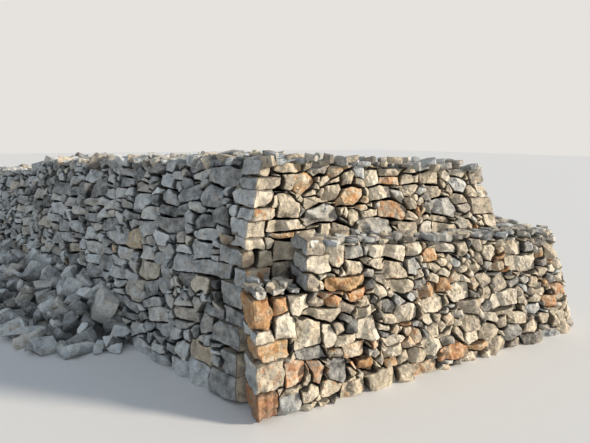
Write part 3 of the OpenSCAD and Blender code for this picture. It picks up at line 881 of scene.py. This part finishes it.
# The step's tread: flat stones across its top, the thickest at the corner. Each row: how far
# from the corner along and in, width, depth, level of its top, tone, rust
TREAD = [(0.0, 0.0, 0.17, 0.2, 1.08, 0.72, -0.6), (0.17, 0.01, 0.15, 0.23, 1.068, 0.8, -0.4),
         (0.32, 0.02, 0.15, 0.22, 1.045, 0.6, -0.7), (0.0, 0.2, 0.22, 0.16, 1.065, 0.6, -0.7),
         (0.22, 0.24, 0.25, 0.12, 1.05, 0.7, -0.5)]
for start, inward, wide, deep, top, tone, rust in TREAD:
    corner_stone(step_cap, lambda away, up: bench_face(away + start, up) + np.array([0, inward, 0]),
                 lambda away, up: near_side(away, up) + np.array([start, inward, 0]),
                 STEP_ROWS * COURSE, top, wide, deep, (tone, rust), chance, rough=0.011)


# Main wall: a double wall with both faces battered, its front in warm stone that the sun has
# bleached, a left return that runs on as the arm's outer face, and a right end.

# The arm turns 25 degrees from square to the main wall; these are that angle's sine and cosine
ARM_SINE, ARM_COSINE = 0.42262, 0.90631
ALONG = np.array([-ARM_SINE, ARM_COSINE, 0.0])
OUTWARD = np.array([-ARM_COSINE, -ARM_SINE, 0.0])
# Half the arm's width on the ground and its inner face's batter
ARM_HALF, INNER_BATTER = 0.725, 0.10
# Where the arm's three lengths end, measured along its middle line
ARM_ENDS = (2.325, 4.2, 6.075)
# Cells across each face
MAIN_COLUMNS, RIGHT_COLUMNS, RETURN_COLUMNS = 42, 15, 100


def arm_outer(z):
    """How far the arm's outer face stands from the arm's middle line; it leans in more at the top."""
    return np.where(z < 1.4, ARM_HALF - 0.156 * z, 0.5066 - 0.34 * (z - 1.4))


def arm_inner(z):
    """How far the arm's inner face stands from the arm's middle line."""
    return INNER_BATTER * z - ARM_HALF


def on_arm(s, t, z):
    """A place at a distance along the arm, out from its middle line, and up."""
    return s[:, None] * ALONG + t[:, None] * OUTWARD + z[:, None] * np.array([0, 0, 1.0])


def arm_top(s):
    """Level of the arm's top, which drops where stones have fallen from it."""
    fallen = np.clip((s - ARM_ENDS[1] + 0.1) / 0.25, 0, 1) * 0.13
    join = np.clip((s - 0.1) / 0.5, 0, 1)
    return (1 - join) * 2.07 + join * (2.03 - 0.03 * (s - 0.45)) - fallen


def corner_line(z):
    """Where along the arm's line its outer face meets the main wall's front."""
    return (main_front_y(z) + ARM_SINE * arm_outer(z)) / ARM_COSINE


def far_end(z):
    """Where along the arm's line its end face stands."""
    return ARM_ENDS[2] + 0.23 + 0.1 * (1.771 - z)


def main_front(across, up):
    """The main wall's front, from its left corner to its right end."""
    share = across / (MAIN_COLUMNS * PITCH)
    z = up / WALL_HIGH * main_top(-0.11 + share * 2.56)
    left = -ARM_SINE * corner_line(z) - ARM_COSINE * arm_outer(z)
    return np.column_stack([left + share * (right_end(z) - left), main_front_y(z), z])


def arm_outer_face(across, up):
    """The arm's outer face and the main wall's left return, from the far end to the corner."""
    share = 1 - across / (RETURN_COLUMNS * PITCH)
    z = up / WALL_HIGH * arm_top(-0.33 + share * 6.65)
    s = corner_line(z) + share * (far_end(z) - corner_line(z))
    return on_arm(s, arm_outer(z), z)


def main_right(across, up):
    """The main wall's right end, above the bench."""
    share = across / (RIGHT_COLUMNS * PITCH)
    z = up / WALL_HIGH * main_top(RIGHT_TOP_AT)
    front, back = main_front_y(z), main_back_y(z)
    return np.column_stack([right_end(z), front + share * (back - front), z])


# Kinds of stone on the sunny front and on the side in shade, where darker tones and cool grey paint that
# shade: how often, tones, rust
MAIN_MIX = ((42, (0.7, 1.0), 0.15), (20, (0.5, 0.76), 0.16), (6, (0.2, 0.42), -0.3),
            (14, (0.42, 0.78), -0.5), (5, (0.5, 0.85), 0.7), (11, (0.5, 0.8), 0.45))
PAINTED_SHADE_MIX = ((62, (0.3, 0.92), -1.0), (22, (0.15, 0.45), -0.9), (14, (0.45, 0.8), -0.6),
             (2, (0.4, 0.7), 0.35))

# Corner stones from the ground up: first row, rows, lengths in cells along the front and the
# other side, and a tone for some. Below the step's top only short ones show in front
MAIN_CORNER = [(0, 5, 3, 6), (5, 4, 3, 4), (9, 4, 3, 6), (13, 3, 3, 4), (16, 4, 3, 5)]
UPPER_CORNER = [(20, 3, 4, 3, 0.7), (23, 3, 2, 5, 0.62), (26, 2, 3, 3, 0.8), (28, 3, 3, 4, 0.95),
                (31, 2, 4, 3, 0.86), (33, 3, 3, 5, 0.92), (36, 2, 4, 4, 0.55), (38, 3, 2, 4, 0.75)]
RIGHT_FRONT = [(24, 3, 4, 3), (27, 3, 3, 4), (30, 4, 5, 3), (34, 3, 3, 4), (37, 4, 4, 3)]
RIGHT_BACK = [(27, 3, 4, 3), (30, 3, 3, 4), (33, 3, 5, 3), (36, 3, 3, 4), (39, 2, 4, 3)]
END_OUTER = [(0, 5, 5, 3), (5, 4, 3, 5), (9, 4, 5, 3), (13, 4, 3, 4), (17, 4, 5, 3), (21, 4, 3, 5),
             (25, 4, 5, 3), (29, 4, 3, 4), (33, 4, 4, 3), (37, 4, 3, 4)]
# Stones that stand out on the front: column, row, width, height, (tone, rust)
MAIN_KEPT = [(13, 33, 4, 3, (0.8, 0.66)), (6, 36, 3, 3, (0.8, 0.62)), (20, 37, 4, 2, (0.8, 0.6)),
             (4, 27, 3, 2, (0.8, 0.6)), (17, 24, 5, 6, (0.5, -0.5)), (30, 30, 4, 4, (0.5, -0.6)),
             (12, 25, 3, 5, (0.55, 0.3)), (28, 37, 4, 3, (0.6, 0.2))]

main_parts = {name: Heap() for name in ("main_front_face", "main_left_return", "main_right_end")}
arm_parts = {name + str(k): Heap() for k in (1, 2, 3)
             for name in ("arm_outer_face_", "arm_inner_face_", "arm_footing_", "arm_cope_")}
main_corner, main_cope, arm_end = Heap(), Heap(), Heap()

closed = [(OPEN, 0, 0, MAIN_COLUMNS, 20), (OPEN, 7, 20, MAIN_COLUMNS - 7, 4)]
closed += cells(*[(0, r, w, h) for r, h, w, _, _ in UPPER_CORNER])
closed += cells(*[(MAIN_COLUMNS - w, r, w, h) for r, h, w, _ in RIGHT_FRONT])
lay_face(lambda u, v: main_parts["main_front_face"], main_front, MAIN_COLUMNS, WALL_ROWS, 23, MAIN_MIX,
         closed=closed, kept=MAIN_KEPT)

closed = [(OPEN, 0, 0, RIGHT_COLUMNS, 24)]
closed += cells(*[(0, r, w, h) for r, h, _, w in RIGHT_FRONT])
closed += cells(*[(RIGHT_COLUMNS - w, r, w, h) for r, h, _, w in RIGHT_BACK], (12, 24, 3, 3))
lay_face(lambda u, v: main_parts["main_right_end"], main_right, RIGHT_COLUMNS, WALL_ROWS, 29, MAIN_MIX,
         closed=closed)


def arm_part(kind, along, up):
    """The arm's heap for a stone of its outer or inner face, by its length and its level."""
    length = 1 if along < ARM_ENDS[0] else 2 if along < ARM_ENDS[1] else 3
    kind = "footing" if up < FOOTING_HIGH else kind if up < 38 * COURSE else "cope"
    return arm_parts[f"arm_{kind}_{length}"]


def outer_part(across, up):
    """The heap for a stone of the arm's outer face or of the main wall's return."""
    along = 6.33 - across
    return main_parts["main_left_return"] if along < 0.30 else arm_part("outer_face", along, up)


closed = cells(*[(RETURN_COLUMNS - w, r, w, h) for r, h, _, w in MAIN_CORNER],
               *[(RETURN_COLUMNS - w, r, w, h) for r, h, _, w, _ in UPPER_CORNER],
               *[(0, r, w, h) for r, h, w, _ in END_OUTER])
lay_face(outer_part, arm_outer_face, RETURN_COLUMNS, WALL_ROWS, 37, PAINTED_SHADE_MIX, closed=closed, sway=0.028,
         step=0.028, sizes=FLAT_SIZES)

chance = np.random.default_rng(7)


def away_from(face, at, way):
    """Places at a distance from one edge of a face, in a direction across it."""
    return lambda away, up: face(at + way * away, up)


def corner_stack(heap, first, second, stones, looks_of):
    """A corner's stones, one on another; looks_of gives each its tone and rust."""
    for r, h, w, side, *own in stones:
        corner_stone(heap, first, second, r * COURSE, (r + h) * COURSE, w * PITCH, side * PITCH,
                     looks_of(*own), chance)


main_left_edge = away_from(main_front, 0.0, 1)
return_edge = away_from(arm_outer_face, RETURN_COLUMNS * PITCH, -1)
corner_stack(main_corner, main_left_edge, return_edge, MAIN_CORNER,
             lambda: (chance.uniform(0.2, 0.7), 0.1))
corner_stack(main_corner, main_left_edge, return_edge, UPPER_CORNER,
             lambda tone: (tone, chance.choice([0.05, 0.1, 0.5])))
corner_stack(main_parts["main_right_end"], away_from(main_front, MAIN_COLUMNS * PITCH, -1),
             away_from(main_right, 0.0, 1), RIGHT_FRONT, lambda: (chance.uniform(0.4, 0.95), 0.1))
corner_stack(main_parts["main_right_end"], away_from(bench_face, TURNS[4] + 0.002, 1),
             away_from(main_right, RIGHT_COLUMNS * PITCH, -1), RIGHT_BACK,
             lambda: (chance.uniform(0.3, 0.9), 0.1))
for name, heap in main_parts.items():
    heap.piece(name.replace("_face", "") + "_stones", [name], "face_stone")
main_corner.piece("main_corner_stones", ["main_corner_quoins"], "corner_stone")


# Arm: its inner face, its plain upright end and the cope of loose flat stones. The stone is the
# same, partly weathered grey, and painted darker and cool grey, its end's corner stones too, as sky-lit
# shade.
INNER_COLUMNS, END_COLUMNS = 89, 21


def arm_inner_face(across, up):
    """The arm's inner face, from the main wall's back to the far end."""
    share = across / (INNER_COLUMNS * PITCH)
    z = up / WALL_HIGH * arm_top(0.6 + share * 5.7)
    start = 0.335 - 0.0637 * z
    return on_arm(start + share * (far_end(z) - start), arm_inner(z), z)


def arm_end_face(across, up):
    """The arm's end, from its inner to its outer edge."""
    share = across / (END_COLUMNS * PITCH)
    z = up / WALL_HIGH * arm_top(np.full(len(up), 6.3))
    inner, outer = arm_inner(z), arm_outer(z)
    return on_arm(far_end(z), inner + share * (outer - inner), z)


END_INNER = [(0, 4, 3, 5), (4, 5, 5, 3), (9, 4, 3, 5), (13, 4, 5, 3), (17, 3, 3, 4), (20, 4, 5, 3),
             (24, 4, 3, 5), (28, 4, 4, 3), (32, 4, 3, 4), (36, 5, 4, 3)]
closed = cells(*[(INNER_COLUMNS - w, r, w, h) for r, h, w, _ in END_INNER])
lay_face(lambda u, v: arm_part("inner_face", 0.39 + u, v), arm_inner_face, INNER_COLUMNS, WALL_ROWS, 41,
         PAINTED_SHADE_MIX, closed=closed, sway=0.028, step=0.036, sizes=FLAT_SIZES)
closed = cells(*[(0, r, w, h) for r, h, _, w in END_INNER],
               *[(END_COLUMNS - w, r, w, h) for r, h, _, w in END_OUTER])
lay_face(lambda u, v: arm_end, arm_end_face, END_COLUMNS, WALL_ROWS, 43, PAINTED_SHADE_MIX, closed=closed,
         step=0.03, sizes=FLAT_SIZES)
corner_stack(arm_end, away_from(arm_outer_face, 0.0, 1), away_from(arm_end_face, END_COLUMNS * PITCH, -1),
             END_OUTER, lambda: (chance.uniform(0.3, 0.8), -0.9))
corner_stack(arm_end, away_from(arm_inner_face, INNER_COLUMNS * PITCH, -1), away_from(arm_end_face, 0.0, 1),
             END_INNER, lambda: (chance.uniform(0.3, 0.8), -0.8))
arm_end.piece("arm_end_stones", ["arm_end_face"], "face_stone")
for name, heap in arm_parts.items():
    if "cope" not in name:
        slot = "footing_stone" if "footing" in name else "face_stone"
        heap.piece(name.replace("_face", "") + "_stones", [name], slot)


# Tops: flat stones laid loose across each wall to close it, with smaller ones in between.
# They are the flattest of the same field limestone, and their own weight holds them.

# Cells along and across each top
MAIN_COVER, ARM_COVER, BENCH_COVER, END_COVER = (35, 12), (86, 11), (36, 4), (9, 21)


def span(cover):
    """A top's length and width in metres, by its cells."""
    return cover[0] * PITCH, cover[1] * COURSE


def main_cover(across, up):
    """The main wall's top, seen from above: along it, and back across it."""
    front, deep, right, slant, inset, sunk = -0.27, 0.58, 2.29, 0.4663, 0.15, 0.04
    long, wide = span(MAIN_COVER)
    y = front + up * (deep / wide)
    left = -slant * y - inset
    x = left + across / long * (right - left)
    return np.column_stack([x, y, main_top(x) - sunk])


def arm_cover(across, up):
    """The arm's top, from the main wall to its end."""
    inset, sunk, end = 0.15, 0.045, 6.17
    long, wide = span(ARM_COVER)
    top = arm_top(0.3 + across / long * (end - 0.3)) - sunk
    inner, outer = arm_inner(top) + inset, arm_outer(top) - inset
    t = inner + up / wide * (outer - inner)
    start = (0.32 + ARM_SINE * t) / ARM_COSINE
    return on_arm(start + across / long * (end - start), t, top)


def flat_cover(cover, left, long, front, deep):
    """A piece of the bench's top, of a length and depth, from its left front corner."""
    def face(across, up):
        x = left + across * (long / span(cover)[0])
        return np.column_stack([x, front + up * (deep / span(cover)[1]), bench_top(x) - 0.035])

    return face


# The bench's top behind its face stones, up to the main wall's end, and at its rounded end
bench_cover = flat_cover(BENCH_COVER, 0.20, 2.45, -0.715, 0.22)
bench_end_cover = flat_cover(END_COVER, 2.56, 0.62, -0.68, 1.08)

COPE_MIX = ((55, (0.3, 0.75), -0.85), (25, (0.35, 0.75), -0.45), (16, (0.5, 0.85), 0.1),
            (4, (0.5, 0.8), 0.55))
TOP_TAIL = 0.09
bench_top_stones = Heap()
lay_face(lambda u, v: main_cope, main_cover, *MAIN_COVER, 51, COPE_MIX, tail=TOP_TAIL, sway=0.03, step=0.05)
lay_face(lambda u, v: arm_part("cope", 0.4 + u, WALL_HIGH), arm_cover, *ARM_COVER, 53, PAINTED_SHADE_MIX, gap=0.011,
         tail=TOP_TAIL, sway=0.03, step=0.055)
for cover, face, seed in ((BENCH_COVER, bench_cover, 57), (END_COVER, bench_end_cover, 59)):
    lay_face(lambda u, v: bench_top_stones, face, *cover, seed, COPE_MIX, gap=0.008, tail=TOP_TAIL, step=0.05)


# Loose rubble: flat broken stones dropped on the tops to level them, and the blocks that have
# slumped to the foot of the arm. None is fixed; each lies as it fell.
def broken_stone(name, chance, flatness, sides, soil_and_shade):
    """One angular stone about 1 m long: a slab with a broken outline, its two beds not quite level."""
    # Levels of its outline: height, share of its reach, and darkening by grime and painted shade, most under
    # the stone
    levels = ((-0.5, 0.94, soil_and_shade), (0.1, 1.0, soil_and_shade / 3), (0.5, 0.93, 0.0))
    shape = bmesh.new()
    depth = chance.uniform(0.25, 0.4)
    turns = [2 * math.pi * (side + chance.uniform(-0.35, 0.35)) / sides for side in range(sides)]
    reaches = chance.uniform(0.72, 1.0, sides)
    slip = chance.uniform(-0.07, 0.07, 2)
    dirt = shape.verts.layers.float.new("joint_dirt")
    for level, share, dirtied_and_shaded in levels:
        for turn, reach in zip(turns, reaches):
            turn += chance.uniform(-0.12, 0.12)
            reach = reach * share * chance.uniform(0.84, 1.06)
            corner = shape.verts.new((0.5 * reach * math.cos(turn) + slip[0] * level,
                                      depth * reach * math.sin(turn) + slip[1] * level,
                                      flatness * (level + chance.uniform(-0.2, 0.2))))
            corner[dirt] = dirtied_and_shaded
    hull = bmesh.ops.convex_hull(shape, input=shape.verts)
    spare = {g for g in hull["geom_interior"] + hull["geom_unused"] if isinstance(g, bmesh.types.BMVert)}
    bmesh.ops.delete(shape, geom=list(spare), context="VERTS")
    bmesh.ops.recalc_face_normals(shape, faces=shape.faces)
    mesh = bpy.data.meshes.new(name)
    shape.to_mesh(mesh)
    shape.free()
    return bpy.data.objects.new(name, mesh)


chance = np.random.default_rng(71)
plates = bpy.data.collections.new("flat_broken_stones")
blocks = bpy.data.collections.new("broken_blocks")
for k in range(9):
    plate = broken_stone(f"flat_broken_stone_{k}", chance, chance.uniform(0.17, 0.34), 5 + k % 3, 0.5)
    plates.objects.link(plate)
    block = broken_stone(f"broken_block_{k}", chance, chance.uniform(0.26, 0.52), 4 + k % 3, 0.9)
    blocks.objects.link(block)


def scatter_tree(finish):
    """Geometry Nodes: stones strewn over a surface, each turned and sized its own way."""
    tree = bpy.data.node_groups.new("strewn_stones", "GeometryNodeTree")
    face = tree.interface
    face.new_socket("Geometry", in_out="INPUT", socket_type="NodeSocketGeometry")
    face.new_socket("Kinds", in_out="INPUT", socket_type="NodeSocketCollection")
    for label in ("Spacing", "Smallest", "Largest", "Darkest", "Palest", "Coolest", "Rustiest", "Tumble"):
        face.new_socket(label, in_out="INPUT", socket_type="NodeSocketFloat")
    face.new_socket("Seed", in_out="INPUT", socket_type="NodeSocketInt")
    face.new_socket("Geometry", in_out="OUTPUT", socket_type="NodeSocketGeometry")
    given = add(tree, "NodeGroupInput").outputs
    spread = add(tree, "GeometryNodeDistributePointsOnFaces",
                 {"Mesh": given["Geometry"], "Distance Min": given["Spacing"], "Density Max": 4000.0,
                  "Seed": given["Seed"]}, distribute_method="POISSON")
    stones = add(tree, "GeometryNodeCollectionInfo",
                 {"Collection": given["Kinds"], "Separate Children": True, "Reset Children": True})
    size = add(tree, "FunctionNodeRandomValue",
               {2: given["Smallest"], 3: given["Largest"], "Seed": given["Seed"]}, data_type="FLOAT")
    half = add(tree, "ShaderNodeMath", {0: given["Tumble"], 1: -1.0}, operation="MULTIPLY").outputs["Value"]
    least = add(tree, "ShaderNodeCombineXYZ", {"X": half, "Y": half, "Z": -3.14})
    most = add(tree, "ShaderNodeCombineXYZ", {"X": given["Tumble"], "Y": given["Tumble"], "Z": 3.14})
    turn = add(tree, "FunctionNodeRandomValue", {0: least.outputs["Vector"], 1: most.outputs["Vector"],
                                                 "Seed": given["Seed"]}, data_type="FLOAT_VECTOR")
    placed = add(tree, "GeometryNodeInstanceOnPoints",
                 {"Points": spread.outputs["Points"], "Instance": stones.outputs["Instances"],
                  "Pick Instance": True, "Rotation": turn.outputs[0], "Scale": size.outputs[1]})
    low = add(tree, "ShaderNodeCombineXYZ", {"X": given["Darkest"], "Y": given["Coolest"], "Z": 0.0})
    high = add(tree, "ShaderNodeCombineXYZ", {"X": given["Palest"], "Y": given["Rustiest"], "Z": 1.0})
    looks = add(tree, "FunctionNodeRandomValue",
                {0: low.outputs["Vector"], 1: high.outputs["Vector"], "Seed": 5}, data_type="FLOAT_VECTOR")
    kept = add(tree, "GeometryNodeStoreNamedAttribute",
               {"Geometry": placed.outputs["Instances"], "Name": "stone", "Value": looks.outputs[0]},
               data_type="FLOAT_VECTOR", domain="INSTANCE")
    solid = add(tree, "GeometryNodeRealizeInstances", {"Geometry": kept.outputs["Geometry"]})
    painted = add(tree, "GeometryNodeSetMaterial",
                  {"Geometry": solid.outputs["Geometry"], "Material": finish})
    add(tree, "NodeGroupOutput", {"Geometry": painted.outputs["Geometry"]})
    return tree


strewn = scatter_tree(limestone)


def strew(heap, sheet, kinds, spacing, sizes, tumble, seed, tones=(0.25, 0.8), rust=(-1.3, 0.3)):
    """Strew stones over a sheet and gather them, as plain mesh, into a heap.

    sizes, tones and rust are each a least and a most."""
    given = {"Kinds": kinds, "Spacing": spacing, "Tumble": tumble, "Seed": seed}
    ends = ("Smallest", "Largest", "Darkest", "Palest", "Coolest", "Rustiest")
    given.update(zip(ends, (*sizes, *tones, *rust)))
    spots, faces = sheet
    surface = bpy.data.meshes.new("sheet")
    surface.from_pydata(np.asarray(spots).tolist(), [], faces)
    carrier = bpy.data.objects.new("sheet", surface)
    bpy.context.scene.collection.objects.link(carrier)
    modifier = carrier.modifiers.new("strewn", "NODES")
    modifier.node_group = strewn
    for item in strewn.interface.items_tree:
        if item.in_out == "INPUT" and item.name in given:
            modifier[item.identifier] = given[item.name]
    bpy.context.view_layer.update()
    mesh = bpy.data.meshes.new_from_object(carrier.evaluated_get(bpy.context.evaluated_depsgraph_get()))
    carrier.modifiers.clear()
    bpy.data.objects.remove(carrier)
    points = np.zeros(len(mesh.vertices) * 3)
    mesh.vertices.foreach_get("co", points)
    looks = np.zeros(len(mesh.vertices) * 3)
    mesh.attributes["stone"].data.foreach_get("vector", looks)
    dirt = np.zeros(len(mesh.vertices))
    mesh.attributes["joint_dirt"].data.foreach_get("value", dirt)
    faces = np.array([face.vertices[:] for face in mesh.polygons])
    bpy.data.meshes.remove(mesh)
    heap.lay(points.reshape(-1, 3), (faces,), np.clip(looks.reshape(-1, 3), -1, 1), dirt)


def sheet_over(face, columns, rows, width, height, lift):
    """A grid over a face, for stones to be strewn on."""
    across, up = np.meshgrid(np.linspace(0, width, columns + 1), np.linspace(0, height, rows + 1))
    spots = face(across.ravel(), up.ravel()) + np.array([0, 0, lift])
    spots[:, 2] = np.maximum(spots[:, 2], 0.03)
    line = columns + 1
    starts = [r * line + c for r in range(rows) for c in range(columns)]
    return spots, [(at, at + 1, at + line + 1, at + line) for at in starts]


def heap_face(start, end):
    """The heap's slope along one length of the arm, its near end rising from the ground."""
    def face(across, up):
        s = start + across * (end - start)
        rise = np.clip((s - 1.30) / 0.45, 0.15, 1)
        t = 0.70 + rise * (0.66 - 0.76 * up)
        return on_arm(s, t, rise * 0.52 * up)

    return face


# The heap in three layers: blocks sunk into its upper part, painted dark as the shade in the gaps between the
# heap's stones, blocks over it, and flat stones
for k, (start, end) in enumerate(((1.36, ARM_ENDS[0]), ARM_ENDS[:2], (ARM_ENDS[1], 5.96)), 1):
    tumbled = Heap()
    slope = heap_face(start, end)
    upper = sheet_over(lambda u, v: slope(u, v + 0.3), 8, 6, 1, 0.7, -0.10)
    strew(tumbled, upper, blocks, 0.25, (0.26, 0.46), 0.8, 20 + k, (0.0, 0.5), (-1.8, -0.5))
    strew(tumbled, sheet_over(slope, 8, 6, 1, 1, 0.0), blocks, 0.36, (0.28, 0.52), 0.7, 12 + k, (0.3, 1.0),
          (-1.8, -0.5))
    strew(tumbled, sheet_over(slope, 8, 6, 1, 1, 0.03), plates, 0.26, (0.14, 0.4), 0.8, 30 + k, (0.3, 1.0),
          (-1.8, -0.4))
    tumbled.piece(f"tumbled_stones_heap_{k}", [f"tumbled_stones_{k}"], "tumbled_stone")


def front_edge(u, v):
    """The top edge of the main wall's front, and a hand's breadth back from it."""
    return main_front(u, np.full(len(u), WALL_HIGH)) + v[:, None] * np.array([0, 1, 0])


def end_edge(u, v):
    """The top edge of the main wall's right end, and a hand's breadth in from it."""
    return main_right(u, np.full(len(u), WALL_HIGH)) - (0.07 + v)[:, None] * np.array([1, 0, 0])


def bench_edge(u, v):
    """The top edge of the bench's front, and a hand's breadth back from it."""
    x = 0.12 + u
    return np.column_stack([x, -0.80 + v, bench_top(x)])


def bench_rim(u, v):
    """The top edge of the bench's rounded end, and a hand's breadth in from it."""
    edge = bench_face(TURNS[0] - 0.35 + u, np.full(len(u), 27.8 * COURSE))
    away = edge[:, :2] - np.array([2.85, -0.1])
    inward = away / np.linalg.norm(away, axis=1)[:, None] * (0.07 + v)[:, None]
    return np.column_stack([edge[:, :2] - inward, edge[:, 2]])


# Flat stones along the edges and over the tops: where, its grid, length and width, lift,
# spacing, sizes, tumble and seed
MAIN_LOOSE = [(main_cover, 10, 4, *span(MAIN_COVER), 0.012, 0.15, (0.16, 0.36), 0.2, 41),
              (end_edge, 6, 1, RIGHT_COLUMNS * PITCH, 0.14, -0.012, 0.13, (0.13, 0.25), 0.2, 44),
              (front_edge, 10, 1, 38 * PITCH, 0.18, -0.012, 0.12, (0.13, 0.27), 0.2, 42),
              (front_edge, 10, 1, 38 * PITCH, 0.3, 0.03, 0.16, (0.12, 0.24), 0.25, 43)]
BENCH_LOOSE = [(bench_rim, 16, 1, TURNS[3] - TURNS[0] + 0.5, 0.14, 0.0, 0.13, (0.13, 0.26), 0.2, 64),
               (bench_cover, 12, 2, *span(BENCH_COVER), 0.012, 0.12, (0.12, 0.26), 0.22, 61),
               (bench_edge, 12, 1, 2.7, 0.14, -0.005, 0.12, (0.11, 0.24), 0.2, 63),
               (bench_end_cover, 4, 6, *span(END_COVER), 0.012, 0.13, (0.14, 0.28), 0.25, 62)]
for heap, loose in ((main_cope, MAIN_LOOSE), (bench_top_stones, BENCH_LOOSE)):
    for face, columns, rows, long, wide, lift, spacing, sizes, tumble, seed in loose:
        strew(heap, sheet_over(face, columns, rows, long, wide, lift), plates, spacing, sizes, tumble, seed)
main_cope.piece("main_cope_stones", ["main_cope"], "cope_rubble")
bench_top_stones.piece("bench_cover_stones", ["bench_cover"], "cope_rubble")

# The arm's loose cope, a length at a time: where it starts and ends, its largest stones
for k, (start, end, largest) in enumerate(((0.0, 1.95, 0.38), (1.95, 3.85, 0.4), (3.85, 5.7, 0.26)), 1):
    cope = arm_parts[f"arm_cope_{k}"]
    wide = span(ARM_COVER)[1] + 0.2
    top = sheet_over(lambda u, v: arm_cover(start + u, v - 0.10), 10, 4, end - start, wide, 0.0)
    large = (largest / 2, largest)
    strew(cope, top, plates, 0.09, (0.09, 0.17), 0.3, 45 + k, rust=(-1.6, 0.0))
    strew(cope, top, plates, 0.17, large, 0.35, 50 + k, rust=(-1.6, 0.0))
    strew(cope, top, blocks, 0.3, large, 0.5, 55 + k, rust=(-1.6, 0.2))
    cope.piece(f"arm_cope_{k}_stones", [f"arm_cope_{k}"], "cope_rubble")

tread = [(-0.34, -0.78, 1.05), (0.0, -0.78, 1.04), (0.0, -0.52, 1.045), (-0.34, -0.52, 1.05)]
strew(step_cap, (tread, [(0, 1, 2, 3)]), plates, 0.1, (0.11, 0.21), 0.12, 65)
step_cap.piece("step_tread_stones", ["step_cover"], "cope_rubble")


# Studio floor: plain pale matt boards that the wall rests on, so that it throws its shadow.
# It belongs to the studio and reaches far behind the wall.
FLOOR_LEFT, FLOOR_RIGHT, FLOOR_NEAR, FLOOR_FAR = -60, 60, -60, 80
ground = bpy.data.meshes.new("studio_floor")
ground.from_pydata([(FLOOR_LEFT, FLOOR_NEAR, 0), (FLOOR_RIGHT, FLOOR_NEAR, 0), (FLOOR_RIGHT, FLOOR_FAR, 0),
                    (FLOOR_LEFT, FLOOR_FAR, 0)], [], [(0, 1, 2, 3)])
floor = bpy.data.objects.new("studio_floor", ground)
bpy.context.scene.collection.objects.link(floor)
material, tree = new_finish("pale_matt_floor")
surface = add(tree, "ShaderNodeBsdfPrincipled", {"Base Color": linear("#e4e3e0"), "Roughness": 0.9,
                                                 "IOR": 1.45, "Specular IOR Level": 0.1})
add(tree, "ShaderNodeOutputMaterial", {"Surface": surface.outputs["BSDF"]})
ground.materials.append(material)


# Studio light: a broad soft key from the right, at the sun's place in the photograph, and an
# even pale surround. What the camera sees of the surround is as pale as the lit floor.
world = bpy.data.worlds.new("studio")
bpy.context.scene.world = world
world.use_nodes = True
tree = world.node_tree
tree.nodes.clear()
path = add(tree, "ShaderNodeLightPath")
seen = path.outputs["Is Camera Ray"]
for ray in ("Is Glossy Ray", "Is Transmission Ray"):
    seen = add(tree, "ShaderNodeMath", {0: seen, 1: path.outputs[ray]}, operation="MAXIMUM").outputs["Value"]
surround = add(tree, "ShaderNodeBackground", {"Color": linear("#dbe7f6"), "Strength": 0.57})
backdrop = add(tree, "ShaderNodeBackground", {"Color": linear("#e6e3de"), "Strength": 1.0})
chosen = add(tree, "ShaderNodeMixShader", {0: seen, 1: surround.outputs["Background"],
                                           2: backdrop.outputs["Background"]})
add(tree, "ShaderNodeOutputWorld", {"Surface": chosen.outputs["Shader"]})

KEY_PLACE, KEY_AIM = (9.2, -5.7, 4.4), (1.0, 0.0, 0.9)
lamp = bpy.data.lights.new("key", "SUN")
lamp.energy = 4.7
lamp.angle = math.radians(8)
lamp.color = linear("#fff4e5")[:3]
key = bpy.data.objects.new("key", lamp)
bpy.context.scene.collection.objects.link(key)
key.location = KEY_PLACE
key.rotation_euler = (Vector(KEY_AIM) - key.location).to_track_quat("-Z", "Y").to_euler()


# Camera: where the photographer stood, a little above eye height, with a phone's wide lens.
# The photograph is 590 pixels wide, and the lens is as long as 426 of them.
PHOTO_WIDE, LENS_LONG = 590, 426
DOWN, TO_THE_RIGHT = 10.83, 25.6
lens = bpy.data.cameras.new("camera")
lens.sensor_width = 36
lens.lens = LENS_LONG / PHOTO_WIDE * lens.sensor_width
camera = bpy.data.objects.new("camera", lens)
bpy.context.scene.collection.objects.link(camera)
camera.location = (-1.415, -3.73, 2.20)
camera.rotation_euler = (math.radians(90 - DOWN), 0, math.radians(-TO_THE_RIGHT))
bpy.context.scene.camera = camera
bpy.context.scene.view_settings.view_transform = "Standard"
